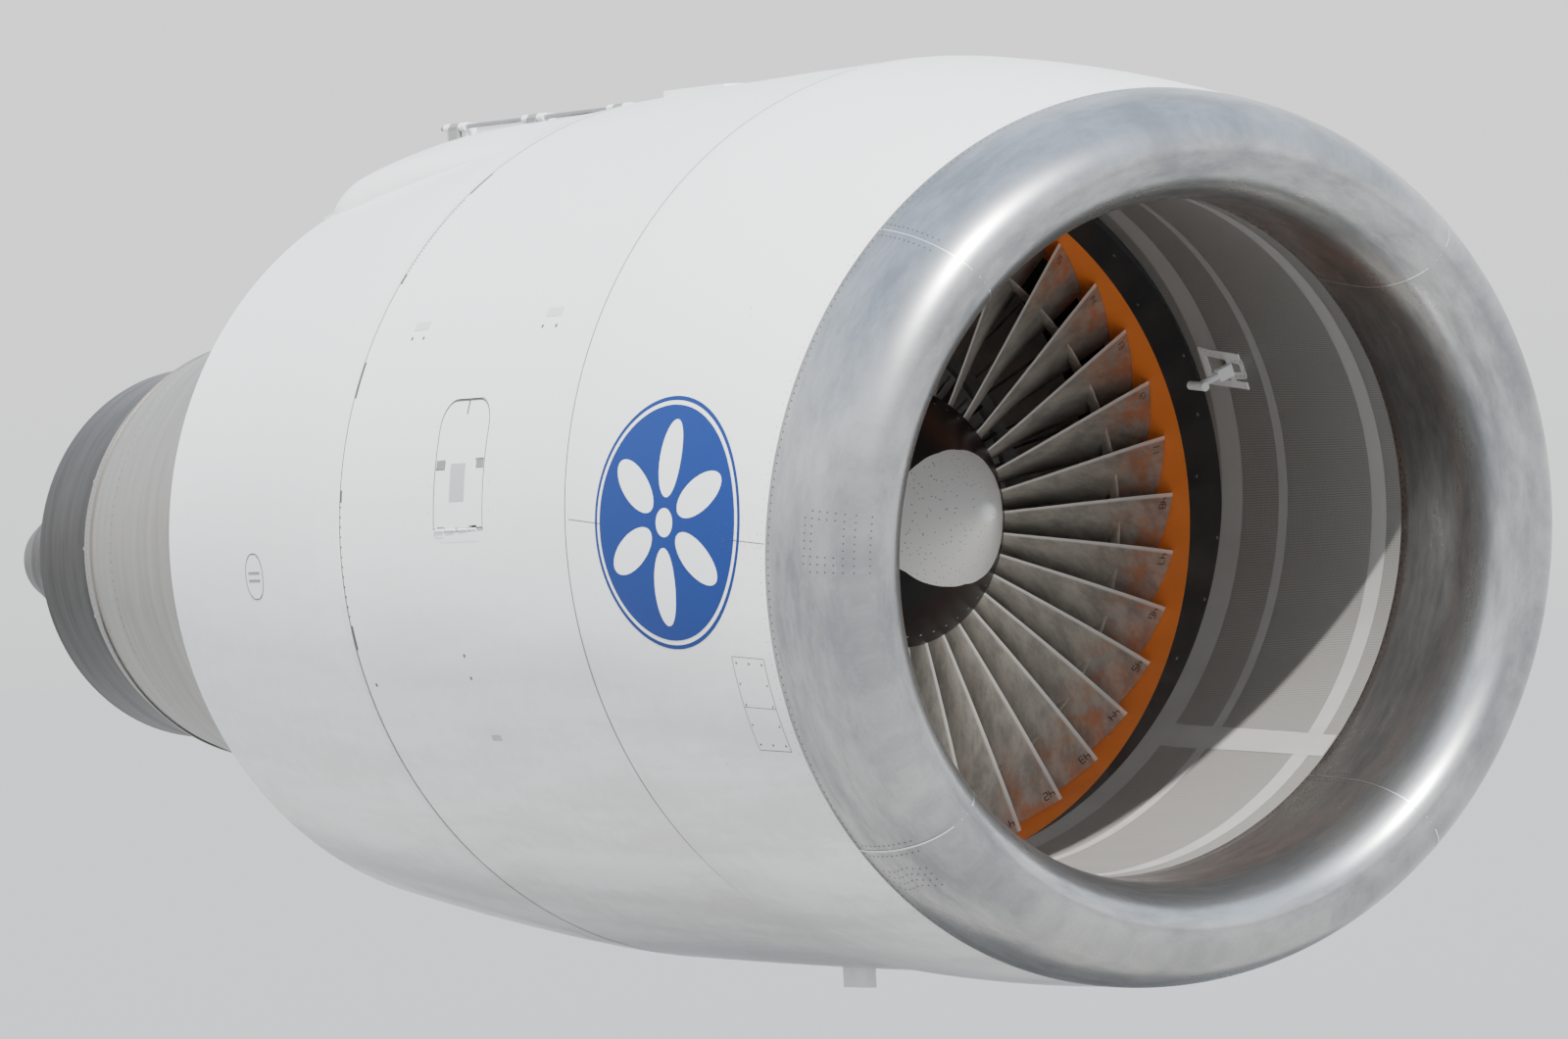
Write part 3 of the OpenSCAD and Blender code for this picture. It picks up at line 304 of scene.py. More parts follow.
dirt_color = mix_color(dirt, dirt_mask, dirt_in.outputs["Color"], dirt_in.outputs["Dirt"])
link(dirt, dirt_color, dirt_out.inputs["Color"])

brush, brush_in, brush_out = new_group(
    "brushed_streaks",
    [("Color", "NodeSocketColor", (0.6, 0.6, 0.6, 1)), ("Tint", "NodeSocketColor", (0.5, 0.5, 0.5, 1)),
     ("Amount", "NodeSocketFloat", 0.5), ("Along", "NodeSocketFloat", 3.0),
     ("Around", "NodeSocketFloat", 3.0)],
    [("Color", "NodeSocketColor"), ("Height", "NodeSocketFloat")],
)
brush_coords = brush.nodes.new("ShaderNodeTexCoord")
brush_round = round_coords(brush, brush_coords.outputs["Object"])
brush_vector = seamless(brush, brush_round, brush_in.outputs["Along"], brush_in.outputs["Around"])
brush_wide = noise(brush, brush_vector, 1.0, 8, 0.7)
brush_mask = ramped(brush, brush_wide, 0.34, 0.68)
brush_mask = math_node(brush, "MULTIPLY", brush_mask, brush_in.outputs["Amount"], True)
brush_color = mix_color(brush, brush_mask, brush_in.outputs["Color"], brush_in.outputs["Tint"])
link(brush, brush_color, brush_out.inputs["Color"])
link(brush, brush_wide, brush_out.inputs["Height"])


def add_group(material, group, **values):
    n = material.node_tree.nodes.new("ShaderNodeGroup")
    n.node_tree = group
    for key, value in values.items():
        n.inputs[key].default_value = (*value, 1) if isinstance(value, tuple) else value
    return n


def shader_of(material):
    return material.node_tree.nodes["Principled BSDF"]


def painted(name, color, dirt_color, amount, rough=0.32, coat=0.35):
    """Gloss paint with grime that gathers low down."""
    m = principled(name, color, rough, 0.0, Coat_Weight=coat, Coat_Roughness=0.12)
    g = add_group(m, dirt, Color=color, Dirt=dirt_color, Amount=amount)
    link(m.node_tree, g.outputs["Color"], shader_of(m).inputs["Base Color"])
    tree = m.node_tree
    wear = noise(tree, tree.nodes.new("ShaderNodeTexCoord").outputs["Object"], 5.0, 8, 0.7)
    uneven = math_node(tree, "ADD", math_node(tree, "MULTIPLY", wear, 0.22), rough - 0.1)
    link(tree, uneven, shader_of(m).inputs["Roughness"])
    return m


def bumped(m, height, strength, distance):
    """Raises a material's surface by a height between 0 and 1."""
    b = m.node_tree.nodes.new("ShaderNodeBump")
    b.inputs["Strength"].default_value = strength
    b.inputs["Distance"].default_value = distance
    link(m.node_tree, height, b.inputs["Height"])
    link(m.node_tree, b.outputs[0], shader_of(m).inputs["Normal"])


def metal(name, color, tint, amount, along, around, rough=0.35, bump=0.02, metallic=1.0):
    """Bare metal with streaks that run along or around the axis."""
    m = principled(name, color, rough, metallic)
    g = add_group(m, brush, Color=color, Tint=tint, Amount=amount, Along=along, Around=around)
    tree = m.node_tree
    link(tree, g.outputs["Color"], shader_of(m).inputs["Base Color"])
    uneven = math_node(tree, "ADD", math_node(tree, "MULTIPLY", g.outputs["Height"], 0.3), rough - 0.15)
    link(tree, uneven, shader_of(m).inputs["Roughness"])
    bumped(m, g.outputs["Height"], bump, 0.004)
    return m


white_paint = painted("white_paint", (0.90, 0.905, 0.91), (0.50, 0.48, 0.45), 0.45)
polished = metal("polished_lip", (0.50, 0.50, 0.495), (0.25, 0.258, 0.272), 0.9, 7.0, 2.6, 0.30, 0.05, 0.95)
bare = metal("bare_metal", (0.34, 0.328, 0.312), (0.25, 0.232, 0.21), 0.5, 14.0, 1.1, 0.42, 0.03, 0.8)
dark_nozzle = metal(
    "dark_nozzle", (0.070, 0.067, 0.065), (0.036, 0.035, 0.034), 0.6, 16.0, 1.0, 0.40, 0.04, 0.85
)
steel = metal("steel", (0.45, 0.45, 0.46), (0.30, 0.30, 0.31), 0.5, 8.0, 8.0, 0.38)
titanium = metal("titanium", (0.25, 0.245, 0.245), (0.13, 0.12, 0.12), 0.8, 16.0, 14.0, 0.40, 0.04)
band_black = painted("band_black", (0.030, 0.032, 0.035), (0.10, 0.09, 0.08), 0.5, 0.45, 0.1)
rub_orange = painted("rub_orange", (1.0, 0.27, 0.055), (0.80, 0.22, 0.06), 0.6, 0.6, 0.0)

# %% [markdown]
# The liner is a sheet full of fine holes. A Voronoi pattern without randomness, laid out
# by station and arc, gives an even field of small dark dots.

# %% Perforated sheet
SHEET_R = 1.15
perforated, perforated_in, perforated_out = new_group(
    "perforated_sheet",
    [("Color", "NodeSocketColor", (0.5, 0.5, 0.5, 1)), ("Hole", "NodeSocketColor", (0.1, 0.1, 0.1, 1)),
     ("Pitch", "NodeSocketFloat", 120.0)],
    [("Color", "NodeSocketColor"), ("Height", "NodeSocketFloat")],
)
sheet_coords = perforated.nodes.new("ShaderNodeTexCoord")
sheet_round = round_coords(perforated, sheet_coords.outputs["Object"])
sheet_angle = math_node(perforated, "ARCTAN2", sheet_round["z"], sheet_round["y"])
sheet_place = perforated.nodes.new("ShaderNodeCombineXYZ")
link(perforated, sheet_round["x"], sheet_place.inputs[0])
link(perforated, math_node(perforated, "MULTIPLY", sheet_angle, SHEET_R), sheet_place.inputs[2])
sheet_cells = perforated.nodes.new("ShaderNodeTexVoronoi")
sheet_cells.inputs["Randomness"].default_value = 0.0
link(perforated, sheet_place.outputs[0], sheet_cells.inputs["Vector"])
link(perforated, perforated_in.outputs["Pitch"], sheet_cells.inputs["Scale"])
sheet_hole = ramped(perforated, sheet_cells.outputs["Distance"], 0.34, 0.22)
sheet_color = mix_color(perforated, sheet_hole, perforated_in.outputs["Color"], perforated_in.outputs["Hole"])
link(perforated, sheet_color, perforated_out.inputs["Color"])
link(perforated, math_node(perforated, "SUBTRACT", 1.0, sheet_hole), perforated_out.inputs["Height"])


def sheet(name, color, hole, dirt_color, amount):
    """Perforated grey sheet with grime over it."""
    m = principled(name, color, 0.5, 0.35)
    tree = m.node_tree
    holes = add_group(m, perforated, Color=color, Hole=hole)
    grime = add_group(m, dirt, Dirt=dirt_color, Amount=amount)
    link(tree, holes.outputs["Color"], grime.inputs["Color"])
    link(tree, grime.outputs["Color"], shader_of(m).inputs["Base Color"])
    bumped(m, holes.outputs["Height"], 0.15, 0.001)
    return m


liner_grey = sheet("liner_grey", (0.33, 0.326, 0.314), (0.17, 0.17, 0.162), (0.26, 0.25, 0.23), 0.45)

# %% [markdown]
# Fan blades are dark, dull titanium. Their front edges are a lighter colour, and near the
# tips rust from the rub strip has left orange and brown stains.

# %% Blade metal
HUB_R, TIP_R = 0.435, 1.181
FRONT_X, SWEEP, SWEEP_POWER = 0.023, 0.103, 1.2
blade_metal = metal("blade_metal", (0.47, 0.43, 0.38), (0.24, 0.22, 0.20), 0.8, 16.0, 14.0, 0.50, 0.04, 0.30)
blade_tree = blade_metal.node_tree
blade_coords = blade_tree.nodes.new("ShaderNodeTexCoord")
blade_round = round_coords(blade_tree, blade_coords.outputs["Object"])
above_hub = math_node(blade_tree, "SUBTRACT", blade_round["radius"], HUB_R)
blade_u = math_node(blade_tree, "DIVIDE", above_hub, TIP_R - HUB_R, True)
front_x = math_node(blade_tree, "MULTIPLY", math_node(blade_tree, "POWER", blade_u, SWEEP_POWER), -SWEEP)
from_hub = math_node(blade_tree, "SUBTRACT", blade_round["x"], FAN_X + FRONT_X)
behind_front = math_node(blade_tree, "SUBTRACT", from_hub, front_x)
# A narrow band along each blade's front edge is given a lighter colour.
edge_mask = ramped(blade_tree, behind_front, -0.006, -0.002)
stain_noise = noise(blade_tree, blade_coords.outputs["Object"], 9.0, 6, 0.6)
stain_mask = ramped(blade_tree, stain_noise, 0.42, 0.70)
stain_mask = math_node(blade_tree, "MULTIPLY", ramped(blade_tree, blade_u, 0.55, 0.98), stain_mask)
stain_mask = math_node(blade_tree, "MULTIPLY", stain_mask, 0.75)
blade_base = shader_of(blade_metal).inputs["Base Color"]
stained = mix_color(blade_tree, stain_mask, blade_base.links[0].from_socket, (0.55, 0.20, 0.07))
link(blade_tree, mix_color(blade_tree, edge_mask, stained, (0.75, 0.72, 0.68)), blade_base)
print("materials", len(bpy.data.materials))

# %% [markdown]
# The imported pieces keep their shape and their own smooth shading. Each only gets the
# material of its slot, and a few whose finish differs in the photograph get another.

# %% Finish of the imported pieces
SLOT_MATERIALS = {
    "white_paint": white_paint, "polished_lip": polished, "bare_metal": bare, "dark_metal": dark_nozzle,
    "steel": steel, "titanium": titanium, "liner": liner_grey, "rub": rub_orange, "spinner_black": band_black,
}
node_slot = {s["node"]: s["material_slot"] for s in frame["record"]["subparts"]}

for name, obj in nodes.items():
    obj.data.materials.clear()
    obj.data.materials.append(SLOT_MATERIALS[node_slot[name]])
nodes["fan_case"].data.materials[0] = band_black
vane_light = metal("vane_light", (0.74, 0.72, 0.69), (0.52, 0.50, 0.47), 0.5, 8.0, 8.0, 0.42, 0.03, 0.2)
for name in ("booster_case", "booster_stators", "outlet_vanes"):
    nodes[name].data.materials[0] = vane_light
nodes["exhaust_plug"].data.materials[0] = dark_nozzle
nodes["fan_disk"].data.materials[0] = blade_metal

# %% [markdown]
# The lip is one polished skin, so the eye reads its curve first. It is drawn as the
# section's outline, spun about the inlet's drooped axis, and closed as a thin wall.

# %% Spinning helper


def spun(name, points, place, steps, material):
    """Turns a closed outline of station and radius once about the axis of its place function."""
    bm = bmesh.new()
    verts = [bm.verts.new(place(s, r, 0)) for s, r in points]
    for pair in zip(verts, verts[1:] + verts[:1]):
        bm.edges.new(pair)
    hub = place(0, 0, 0)
    bmesh.ops.spin(
        bm, geom=bm.verts[:] + bm.edges[:], cent=hub, axis=place(1, 0, 0) - hub,
        angle=-2 * math.pi, steps=steps, use_merge=True, use_duplicate=False,
    )
    bmesh.ops.remove_doubles(bm, verts=bm.verts, dist=1e-5)
    bmesh.ops.recalc_face_normals(bm, faces=bm.faces)
    return new_object(name, bm, material)


def sharpened(obj, degrees=30):
    """Keeps the edges sharp that turn by more than an angle."""
    split = obj.modifiers.new("sharp_edges", "EDGE_SPLIT")
    split.split_angle = math.radians(degrees)
    return obj


def walled(line, thick):
    """Closes an open line of station and radius into a wall on its inner side."""
    inner = []
    for i, (s, r) in enumerate(line):
        a, b = line[max(i - 1, 0)], line[min(i + 1, len(line) - 1)]
        d = math.hypot(b[0] - a[0], b[1] - a[1])
        inner.append((s + thick * (b[1] - a[1]) / d, r - thick * (b[0] - a[0]) / d))
    return line + inner[::-1]


# %% Lip
LIP_S, LIP_R = 1.490, 1.228
JOINT_S, JOINT_R = 1.116, 1.434
LINER_S, LINER_R = 0.927, 1.103
THROAT_S, THROAT_R = 1.225, 1.085
OUTER_POWER, THROAT_POWER = 0.93, 1.8
quarter = [math.radians(90 * i / 24) for i in range(25)]
outer = [
    (JOINT_S + (LIP_S - JOINT_S) * math.sin(a), LIP_R + (JOINT_R - LIP_R) * math.cos(a) ** OUTER_POWER)
    for a in quarter
]
inner = [
    (THROAT_S + (LIP_S - THROAT_S) * math.cos(a), LIP_R - (LIP_R - THROAT_R) * math.sin(a))
    for a in quarter[1:]
]
throat = [
    (THROAT_S + (LINER_S - THROAT_S) * t, THROAT_R + (LINER_R - THROAT_R) * t ** THROAT_POWER)
    for t in (0.2, 0.4, 0.6, 0.8, 1.0)
]
lip_line = outer + inner + throat
lip = spun("lip_skin", walled(lip_line, 0.006), drooped, 256, polished)
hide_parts("inlet_lip")
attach(lip, "engine")
print("lip", len(lip.data.polygons))

# %% [markdown]
# A fan blade is a lofted aerofoil: narrow and little turned at the root, wide and far
# turned at the tip. A grid makes it: across, the grid runs once round the section, and
# along, it runs up the span. Its seam is merged, its ends are closed, and the finished
# blade is turned about the axis as a row of copies.

# %% Loft helper


def lofted(bm, around, along, place, closed=True):
    """Bends a grid so that its first way follows a section and its second the span."""
    made = bmesh.ops.create_grid(bm, x_segments=around, y_segments=along, size=1)["verts"]
    for v in made:
        v.co = place((v.co.x + 1) / 2, (v.co.y + 1) / 2)
    bmesh.ops.remove_doubles(bm, verts=made, dist=2e-6)
    if closed:
        bmesh.ops.holes_fill(bm, edges=[e for e in bm.edges if e.is_boundary], sides=0)


# %% Fan blade
BLADES = 38
BLADE_PHASE = -5.5
PITCH = 360 / BLADES
HUB_SLOPE, TIP_SLOPE = 20 / 225, 0.075


def chord_at(along):
    return 0.200 + 0.056 * along


def stagger_at(along):
    """How far the section is turned from the axis."""
    return math.radians(18 + 46 * along)


def blade_middle(along):
    """Station of the middle of the section, behind the swept front edge."""
    front = FRONT_X - SWEEP * max(along, 0) ** SWEEP_POWER
    return front - chord_at(along) * math.cos(stagger_at(along)) / 2


def blade_place(around, along):
    """A place on the blade: around its section, and along its span."""
    r = HUB_R + (TIP_R - HUB_R) * along
    stagger, chord = stagger_at(along), chord_at(along)
    thick = 0.017 - 0.011 * along
    bend = chord * (0.13 - 0.11 * along)
    t = 2 * math.pi * around
    q = (1 - math.cos(t)) / 2
    forward = (0.5 - q) * chord
    off = bend * 4 * q * (1 - q) - thick / 2 * math.sin(t) * (0.8 + 0.2 * math.cos(t))
    x = blade_middle(along) + forward * math.cos(stagger) + off * math.sin(stagger)
    y = forward * math.sin(stagger) - off * math.cos(stagger)
    angle = math.degrees(y / r)
    if along < 0.001:
        r = HUB_R + (0.020 - x) * HUB_SLOPE - 0.001
    if along > 0.999:
        r = TIP_R + (x + 0.080) * TIP_SLOPE
    return station(x, r, 90 + angle)


blade_bm = bmesh.new()
lofted(blade_bm, 28, 18, blade_place)
print("one blade", len(blade_bm.faces), "faces")

# %% [markdown]
# Part way up, each blade carries a small shelf that rests on its neighbours' shelves.
# It is a short arc of a flat, sharp-edged bar.

# %% Mid-span shelf
SHELF_R = 0.970
shelf_x = blade_middle((SHELF_R - HUB_R) / (TIP_R - HUB_R))


def shelf_place(around, along):
    t = 2 * math.pi * around
    angle = (along - 0.5) * (PITCH - 0.10)
    x = shelf_x + 0.030 * math.cos(t)
    return station(x, SHELF_R + 0.010 * math.sin(t) * (1 - 0.25 * math.cos(t)), 90 + angle)


lofted(blade_bm, 16, 6, shelf_place)
bmesh.ops.recalc_face_normals(blade_bm, faces=blade_bm.faces)
first_turn = Matrix.Rotation(math.radians(-BLADE_PHASE), 3, "X")
bmesh.ops.rotate(blade_bm, verts=blade_bm.verts, cent=station(0, 0, 0), matrix=first_turn)
bmesh.ops.spin(
    blade_bm, geom=blade_bm.faces[:] + blade_bm.edges[:] + blade_bm.verts[:], cent=station(0, 0, 0),
    axis=(1, 0, 0), angle=2 * math.pi * (BLADES - 1) / BLADES, steps=BLADES - 1, use_duplicate=True,
)
blades = sharpened(new_object("fan_blade_row", blade_bm, blade_metal), 50)
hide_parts("fan_blades")
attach(blades, "low_rotor")
print("blades", len(blades.data.polygons), "faces")

# %% [markdown]
# The spinner is a cone with a rounded nose, painted black, with a white comma that shows
# from afar whether the fan turns. The comma lies a hair above the paint as its own skin.

# %% Spinner
SPIN_L = 0.610
SPIN_BACK = 0.0205
AT_TIP = 0.0004
cone = [(SPIN_L + 0.012, AT_TIP)]
for a in range(3, 58, 6):
    t = math.radians(a)
    cone.append((SPIN_L - 0.034 + 0.046 * math.cos(t), 0.044 * math.sin(t)))
cone += [(0.062, HUB_R - 0.030), (0.040, HUB_R - 0.010), (0.024, HUB_R), (SPIN_BACK, HUB_R)]
cone += [(SPIN_BACK, HUB_R - 0.020), (0.060, HUB_R - 0.046)]
cone += [(SPIN_L - 0.070, 0.048), (SPIN_L - 0.056, AT_TIP)]
spinner_black = principled(
    "spinner_black", (0.012, 0.013, 0.015), 0.38, 0.0, Coat_Weight=0.3, Coat_Roughness=0.2
)
spinner = sharpened(spun("spinner_skin", cone, station, 128, spinner_black))
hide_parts("spinner")
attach(spinner, "low_rotor")


def cone_x(r):
    """Station of the spinner's surface at a radius."""
    for (xa, ra), (xb, rb) in zip(cone, cone[1:]):
        if ra <= r <= rb and rb > ra:
            return xa + (xb - xa) * (r - ra) / (rb - ra)
    return SPIN_BACK


# %% White comma
COMMA_EDGE = (
    (-126, 0.203), (-150, 0.200), (-174, 0.203), (-200, 0.222), (-220, 0.255), (-242, 0.305), (-258, 0.36),
    (-272, 0.395), (-288, 0.385), (-302, 0.345), (-318, 0.295), (-336, 0.254), (-355, 0.238), (-370, 0.233),
    (-398, 0.232), (-426, 0.254), (-450, 0.300), (-475, 0.355), (-498, 0.405), (-513, 0.431),
)
TAIL_EDGE = ((-126, 0.203), (-136, 0.254), (-144, 0.32), (-150, 0.40), (-153, 0.431))
COMMA_START, TAIL_TURN, COMMA_IN = -126, 27, 0.0006
LIFT = 0.0012


def along_edge(edge, angle):
    """Radius of an edge at an angle, between the two places that lie beside it."""
    for (a, ra), (b, rb) in zip(edge, edge[1:]):
        if b <= angle <= a:
            t = (a - angle) / (a - b)
            return ra + (rb - ra) * t
    return edge[-1][1]


def comma_place(around, along):
    """The body of the comma: once round the axis, and out to its edge."""
    angle = COMMA_START - 360 * around
    r = COMMA_IN + (along_edge(COMMA_EDGE, angle) - COMMA_IN) * along
    return station(cone_x(r) + LIFT, r, angle)


def tail_place(around, along):
    """The tail lies between the two edges where the comma overlaps its own start."""
    angle = COMMA_START - TAIL_TURN * around
    inner_r = along_edge(TAIL_EDGE, angle)
    r = inner_r + (along_edge(COMMA_EDGE, angle - 360) - inner_r) * along
    return station(cone_x(r) + LIFT, r, angle)


comma_bm = bmesh.new()
lofted(comma_bm, 120, 40, comma_place, closed=False)
lofted(comma_bm, 24, 12, tail_place, closed=False)
bmesh.ops.recalc_face_normals(comma_bm, faces=comma_bm.faces)
WHITE, SPECK = (0.82, 0.82, 0.80), (0.16, 0.15, 0.14)
spinner_white = principled("spinner_white", WHITE, 0.42)
speck_tree = spinner_white.node_tree
specks = speck_tree.nodes.new("ShaderNodeTexVoronoi")
specks.inputs["Scale"].default_value = 62.0
link(speck_tree, speck_tree.nodes.new("ShaderNodeTexCoord").outputs["Object"], specks.inputs["Vector"])
speck_mask = ramped(speck_tree, specks.outputs["Distance"], 0.17, 0.12)
speckled = mix_color(speck_tree, speck_mask, WHITE, SPECK)
link(speck_tree, speckled, shader_of(spinner_white).inputs["Base Color"])
comma = new_object("spinner_comma", comma_bm, spinner_white)
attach(comma, "low_rotor")
print("comma", len(comma.data.polygons), "faces")

# %% Screws of the spinner
SCREW_R = 0.398
screw_bm = bmesh.new()
for k in range(48):
    out = station(0, 1, 7.5 * k) - station(0, 0, 7.5 * k)
    n = Vector((0.62, 0, 0)) + out * 0.78
    p = station(cone_x(SCREW_R) + LIFT, SCREW_R, 7.5 * k) + n * 0.0005
    turned = Matrix.Translation(p) @ n.to_track_quat("Z", "Y").to_matrix().to_4x4()
    bmesh.ops.create_circle(screw_bm, cap_ends=True, segments=6, radius=0.0042, matrix=turned)
screw_bright = principled("screw_bright", (0.62, 0.62, 0.60), 0.4, 0.6)
screws = new_object("spinner_screws", screw_bm, screw_bright, smooth=False)
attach(screws, "low_rotor")


# %% [markdown]
# The outer barrel is a plain painted skin behind the lip. Its rear edge is cut square to
# the engine axis though the barrel itself droops, so it is spun long and then sliced.

# %% Outer barrel
SKIN_R = 1.498


def barrel_radius(s):
    """Radius of the outer skin by distance from the seam along the drooped axis."""
    ahead = (SKIN_R - JOINT_R) * (1 - (max(s, 0) / JOINT_S) ** 2.1)
    return JOINT_R + ahead - 0.007 * (min(s, 0) / 0.146) ** 2


barrel_stations = [-0.16, -0.08] + [0.1 * k for k in range(11)] + [1.06, JOINT_S - 0.002]
barrel_line = [(s, barrel_radius(s)) for s in barrel_stations]


def cut_behind(obj, x):
    """Slices a closed mesh square to the engine axis and keeps what lies ahead."""
    bm = bmesh.new()
    bm.from_mesh(obj.data)
    cut = bmesh.ops.bisect_plane(
        bm, geom=bm.verts[:] + bm.edges[:] + bm.faces[:], plane_co=(FAN_X + x, 0, 0),
        plane_no=(1, 0, 0), clear_inner=True,
    )
    rim = [g for g in cut["geom_cut"] if isinstance(g, bmesh.types.BMEdge)]
    bmesh.ops.bridge_loops(bm, edges=rim)
    bmesh.ops.recalc_face_normals(bm, faces=bm.faces)
    bm.to_mesh(obj.data)
    bm.free()


barrel = spun("barrel_skin", walled(barrel_line, 0.016), drooped, 224, white_paint)
cut_behind(barrel, SEAM + 0.003)
sharpened(barrel)
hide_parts("inlet_outer_barrel")
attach(barrel, "engine")
print("barrel", len(barrel.data.polygons))

# %% [markdown]
# The inner barrel is the sound-absorbing liner: a grey sheet full of fine holes. It is
# spun like the outer one and cut at the front flange of the fan case.

# %% Inner barrel
CASE_X = 0.182
BAND_R = 1.208
liner_line = [(LINER_S - 0.001, LINER_R), (0.60, 1.130), (0.25, 1.162), (-0.02, 1.190), (-0.43, BAND_R)]
liner = spun("liner_skin", walled(liner_line, 0.022), drooped, 224, liner_grey)
cut_behind(liner, CASE_X + 0.001)
sharpened(liner)
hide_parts("inlet_inner_barrel")
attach(liner, "engine")
print("liner", len(liner.data.polygons))

# %% [markdown]
# Rivets, screws and seams lie flush in a skin, so each is a tiny disc or a narrow patch a
# hair above it. A helper finds the place and the outward direction on any round skin.

# %% Marks on a skin


def on_skin(place, radius_at, s, angle, lift=0.0005, inward=False):
    """A place a hair off a skin, and the direction that points away from it."""
    p = place(s, radius_at(s), angle)
    ahead = place(s + 1e-4, radius_at(s + 1e-4), angle) - p
    beside = place(s, radius_at(s), angle + 0.01) - p
    n = ahead.cross(beside).normalized()
    if (n.dot(p - place(s, 0, 0)) < 0) != inward:
        n = -n
    return p + n * lift, n


def discs(name, marks, radius, material, body, segments=8):
    """Small flush discs, such as rivets and screws, as one piece."""
    bm = bmesh.new()
    for p, n in marks:
        turned = Matrix.Translation(p) @ n.to_track_quat("Z", "Y").to_matrix().to_4x4()
        bmesh.ops.create_circle(bm, cap_ends=True, segments=segments, radius=radius, matrix=turned)
    obj = new_object(name, bm, material, smooth=False)
    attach(obj, body)
    print(name, len(marks))
    return obj


def patch(bm, place, radius_at, s_range, a_range, steps=(1, 1), lift=0.0005, inward=False):
    """A piece of skin between two stations and two angles."""
    made = bmesh.ops.create_grid(bm, x_segments=steps[0], y_segments=steps[1], size=1)["verts"]
    faces = list({f for v in made for f in v.link_faces})
    for v in made:
        s = s_range[0] + (s_range[1] - s_range[0]) * (v.co.x + 1) / 2
        a = a_range[0] + (a_range[1] - a_range[0]) * (v.co.y + 1) / 2
        v.co, n = on_skin(place, radius_at, s, a, lift, inward)
    faces[0].normal_update()
    if faces[0].normal.dot(n) < 0 and max(a_range) - min(a_range) < 90:
        bmesh.ops.reverse_faces(bm, faces=faces)


def lip_outer_radius(s):
    c = max(0.0, 1 - ((s - JOINT_S) / (LIP_S - JOINT_S)) ** 2) ** 0.5
    return LIP_R + (JOINT_R - LIP_R) * c ** OUTER_POWER


def lip_inner_radius(s):
    if s < THROAT_S:
        return THROAT_R + (LINER_R - THROAT_R) * ((THROAT_S - s) / (THROAT_S - LINER_S)) ** THROAT_POWER
    c = max(0.0, 1 - ((s - THROAT_S) / (LIP_S - THROAT_S)) ** 2) ** 0.5
    return LIP_R - (LIP_R - THROAT_R) * c


def liner_radius(s):
    for (sa, ra), (sb, rb) in zip(liner_line, liner_line[1:]):
        if sb <= s <= sa:
            return ra + (rb - ra) * (s - sa) / (sb - sa)
    return LINER_R


def on_lip(s, angle):
    return on_skin(drooped, lip_outer_radius, s, angle)


def in_lip(s, angle):
    return on_skin(drooped, lip_inner_radius, s, angle, inward=True)


def on_barrel(s, angle, lift=0.0005):
    return on_skin(drooped, barrel_radius, s, angle, lift)


# %% Rivets of the lip
rivet_dark = principled("rivet_dark", (0.10, 0.10, 0.10), 0.5, 0.6)
rivet_grey = principled("rivet_grey", (0.33, 0.33, 0.33), 0.4, 0.8)
joints = (-135.0, -49.5, 42.0, 136.0)
lip_marks = [on_lip(JOINT_S + 0.018, a) for a in range(360)]
lip_marks += [in_lip(LINER_S + 0.016, 1.25 * a) for a in range(288)]
for joint in joints:
    for k in range(11):
        for side in (-1.0, 1.0):
            lip_marks.append(on_lip(JOINT_S + 0.04 + k * 0.022, joint + side * 0.9))
            lip_marks.append(in_lip(LINER_S + 0.03 + k * 0.022, joint + side))
for row in range(4):
    for k in range(9):
        lip_marks.append(on_lip(JOINT_S + 0.05 + k * 0.024, -46.0 + row * 1.1 + 0.3 * math.sin(k)))
for col in range(8):
    for row in range(9):
        inside = 1 < col < 5 and 1 < row < 6
        if not inside and not (col == 0 and row in (0, 8)):
            lip_marks.append(on_lip(1.303 + col * 0.0255, -96.7 + row * 0.97))
discs("lip_rivets", lip_marks, 0.0031, rivet_dark, "engine")

# %% Seams of the lip
seam_bright = metal("seam_bright", (0.85, 0.86, 0.87), (0.6, 0.6, 0.6), 0.3, 4.0, 4.0, 0.3)


def joint_strips(name, outer_edges, inner_edges, material):
    """A strip over each joint of the lip, outside and inside, between two angles beside it."""
    bm = bmesh.new()
    for joint in joints:
        for radius_at, start, edges, inward in (
            (lip_outer_radius, JOINT_S, outer_edges, False), (lip_inner_radius, LINER_S, inner_edges, True),
        ):
            a_range = (joint + edges[0], joint + edges[1])
            patch(bm, drooped, radius_at, (start + 0.004, LIP_S - 0.0005), a_range, (40, 1), inward=inward)
    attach(new_object(name, bm, material), "engine")


joint_strips("lip_seams", (-0.13, 0.13), (-0.15, 0.15), seam_bright)
joint_strips("lip_gaps", (-0.20, -0.13), (-0.24, -0.15), rivet_dark)

# %% [markdown]
# Sealing tape and repair coats leave lighter stripes round the liner, and one broad band
# runs along it where the sheet's ends meet.

# %% Stripes of the liner
stripe_grey = painted("stripe_grey", (0.39, 0.388, 0.376), (0.27, 0.263, 0.25), 0.4, 0.5, 0.05)
stripe_bm = bmesh.new()
for s0, s1 in ((-0.262, -0.129), (0.113, 0.174), (0.738, 0.834)):
    for a in range(0, 360, 60):
        patch(stripe_bm, drooped, liner_radius, (s0, s1), (a, a + 60), (2, 40), 0.0008, True)
patch(stripe_bm, drooped, liner_radius, (-0.129, 0.922), (46.4, 50.9), (24, 4), 0.0012, True)
stripes = new_object("liner_stripes", stripe_bm, stripe_grey)
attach(stripes, "engine")
print("stripes", len(stripes.data.polygons))

# %% [markdown]
# Plates, vents and marks are easiest to draw flat. Each is drawn on a level sheet, with
# length along the engine and width around it, and then wrapped on to the round skin.

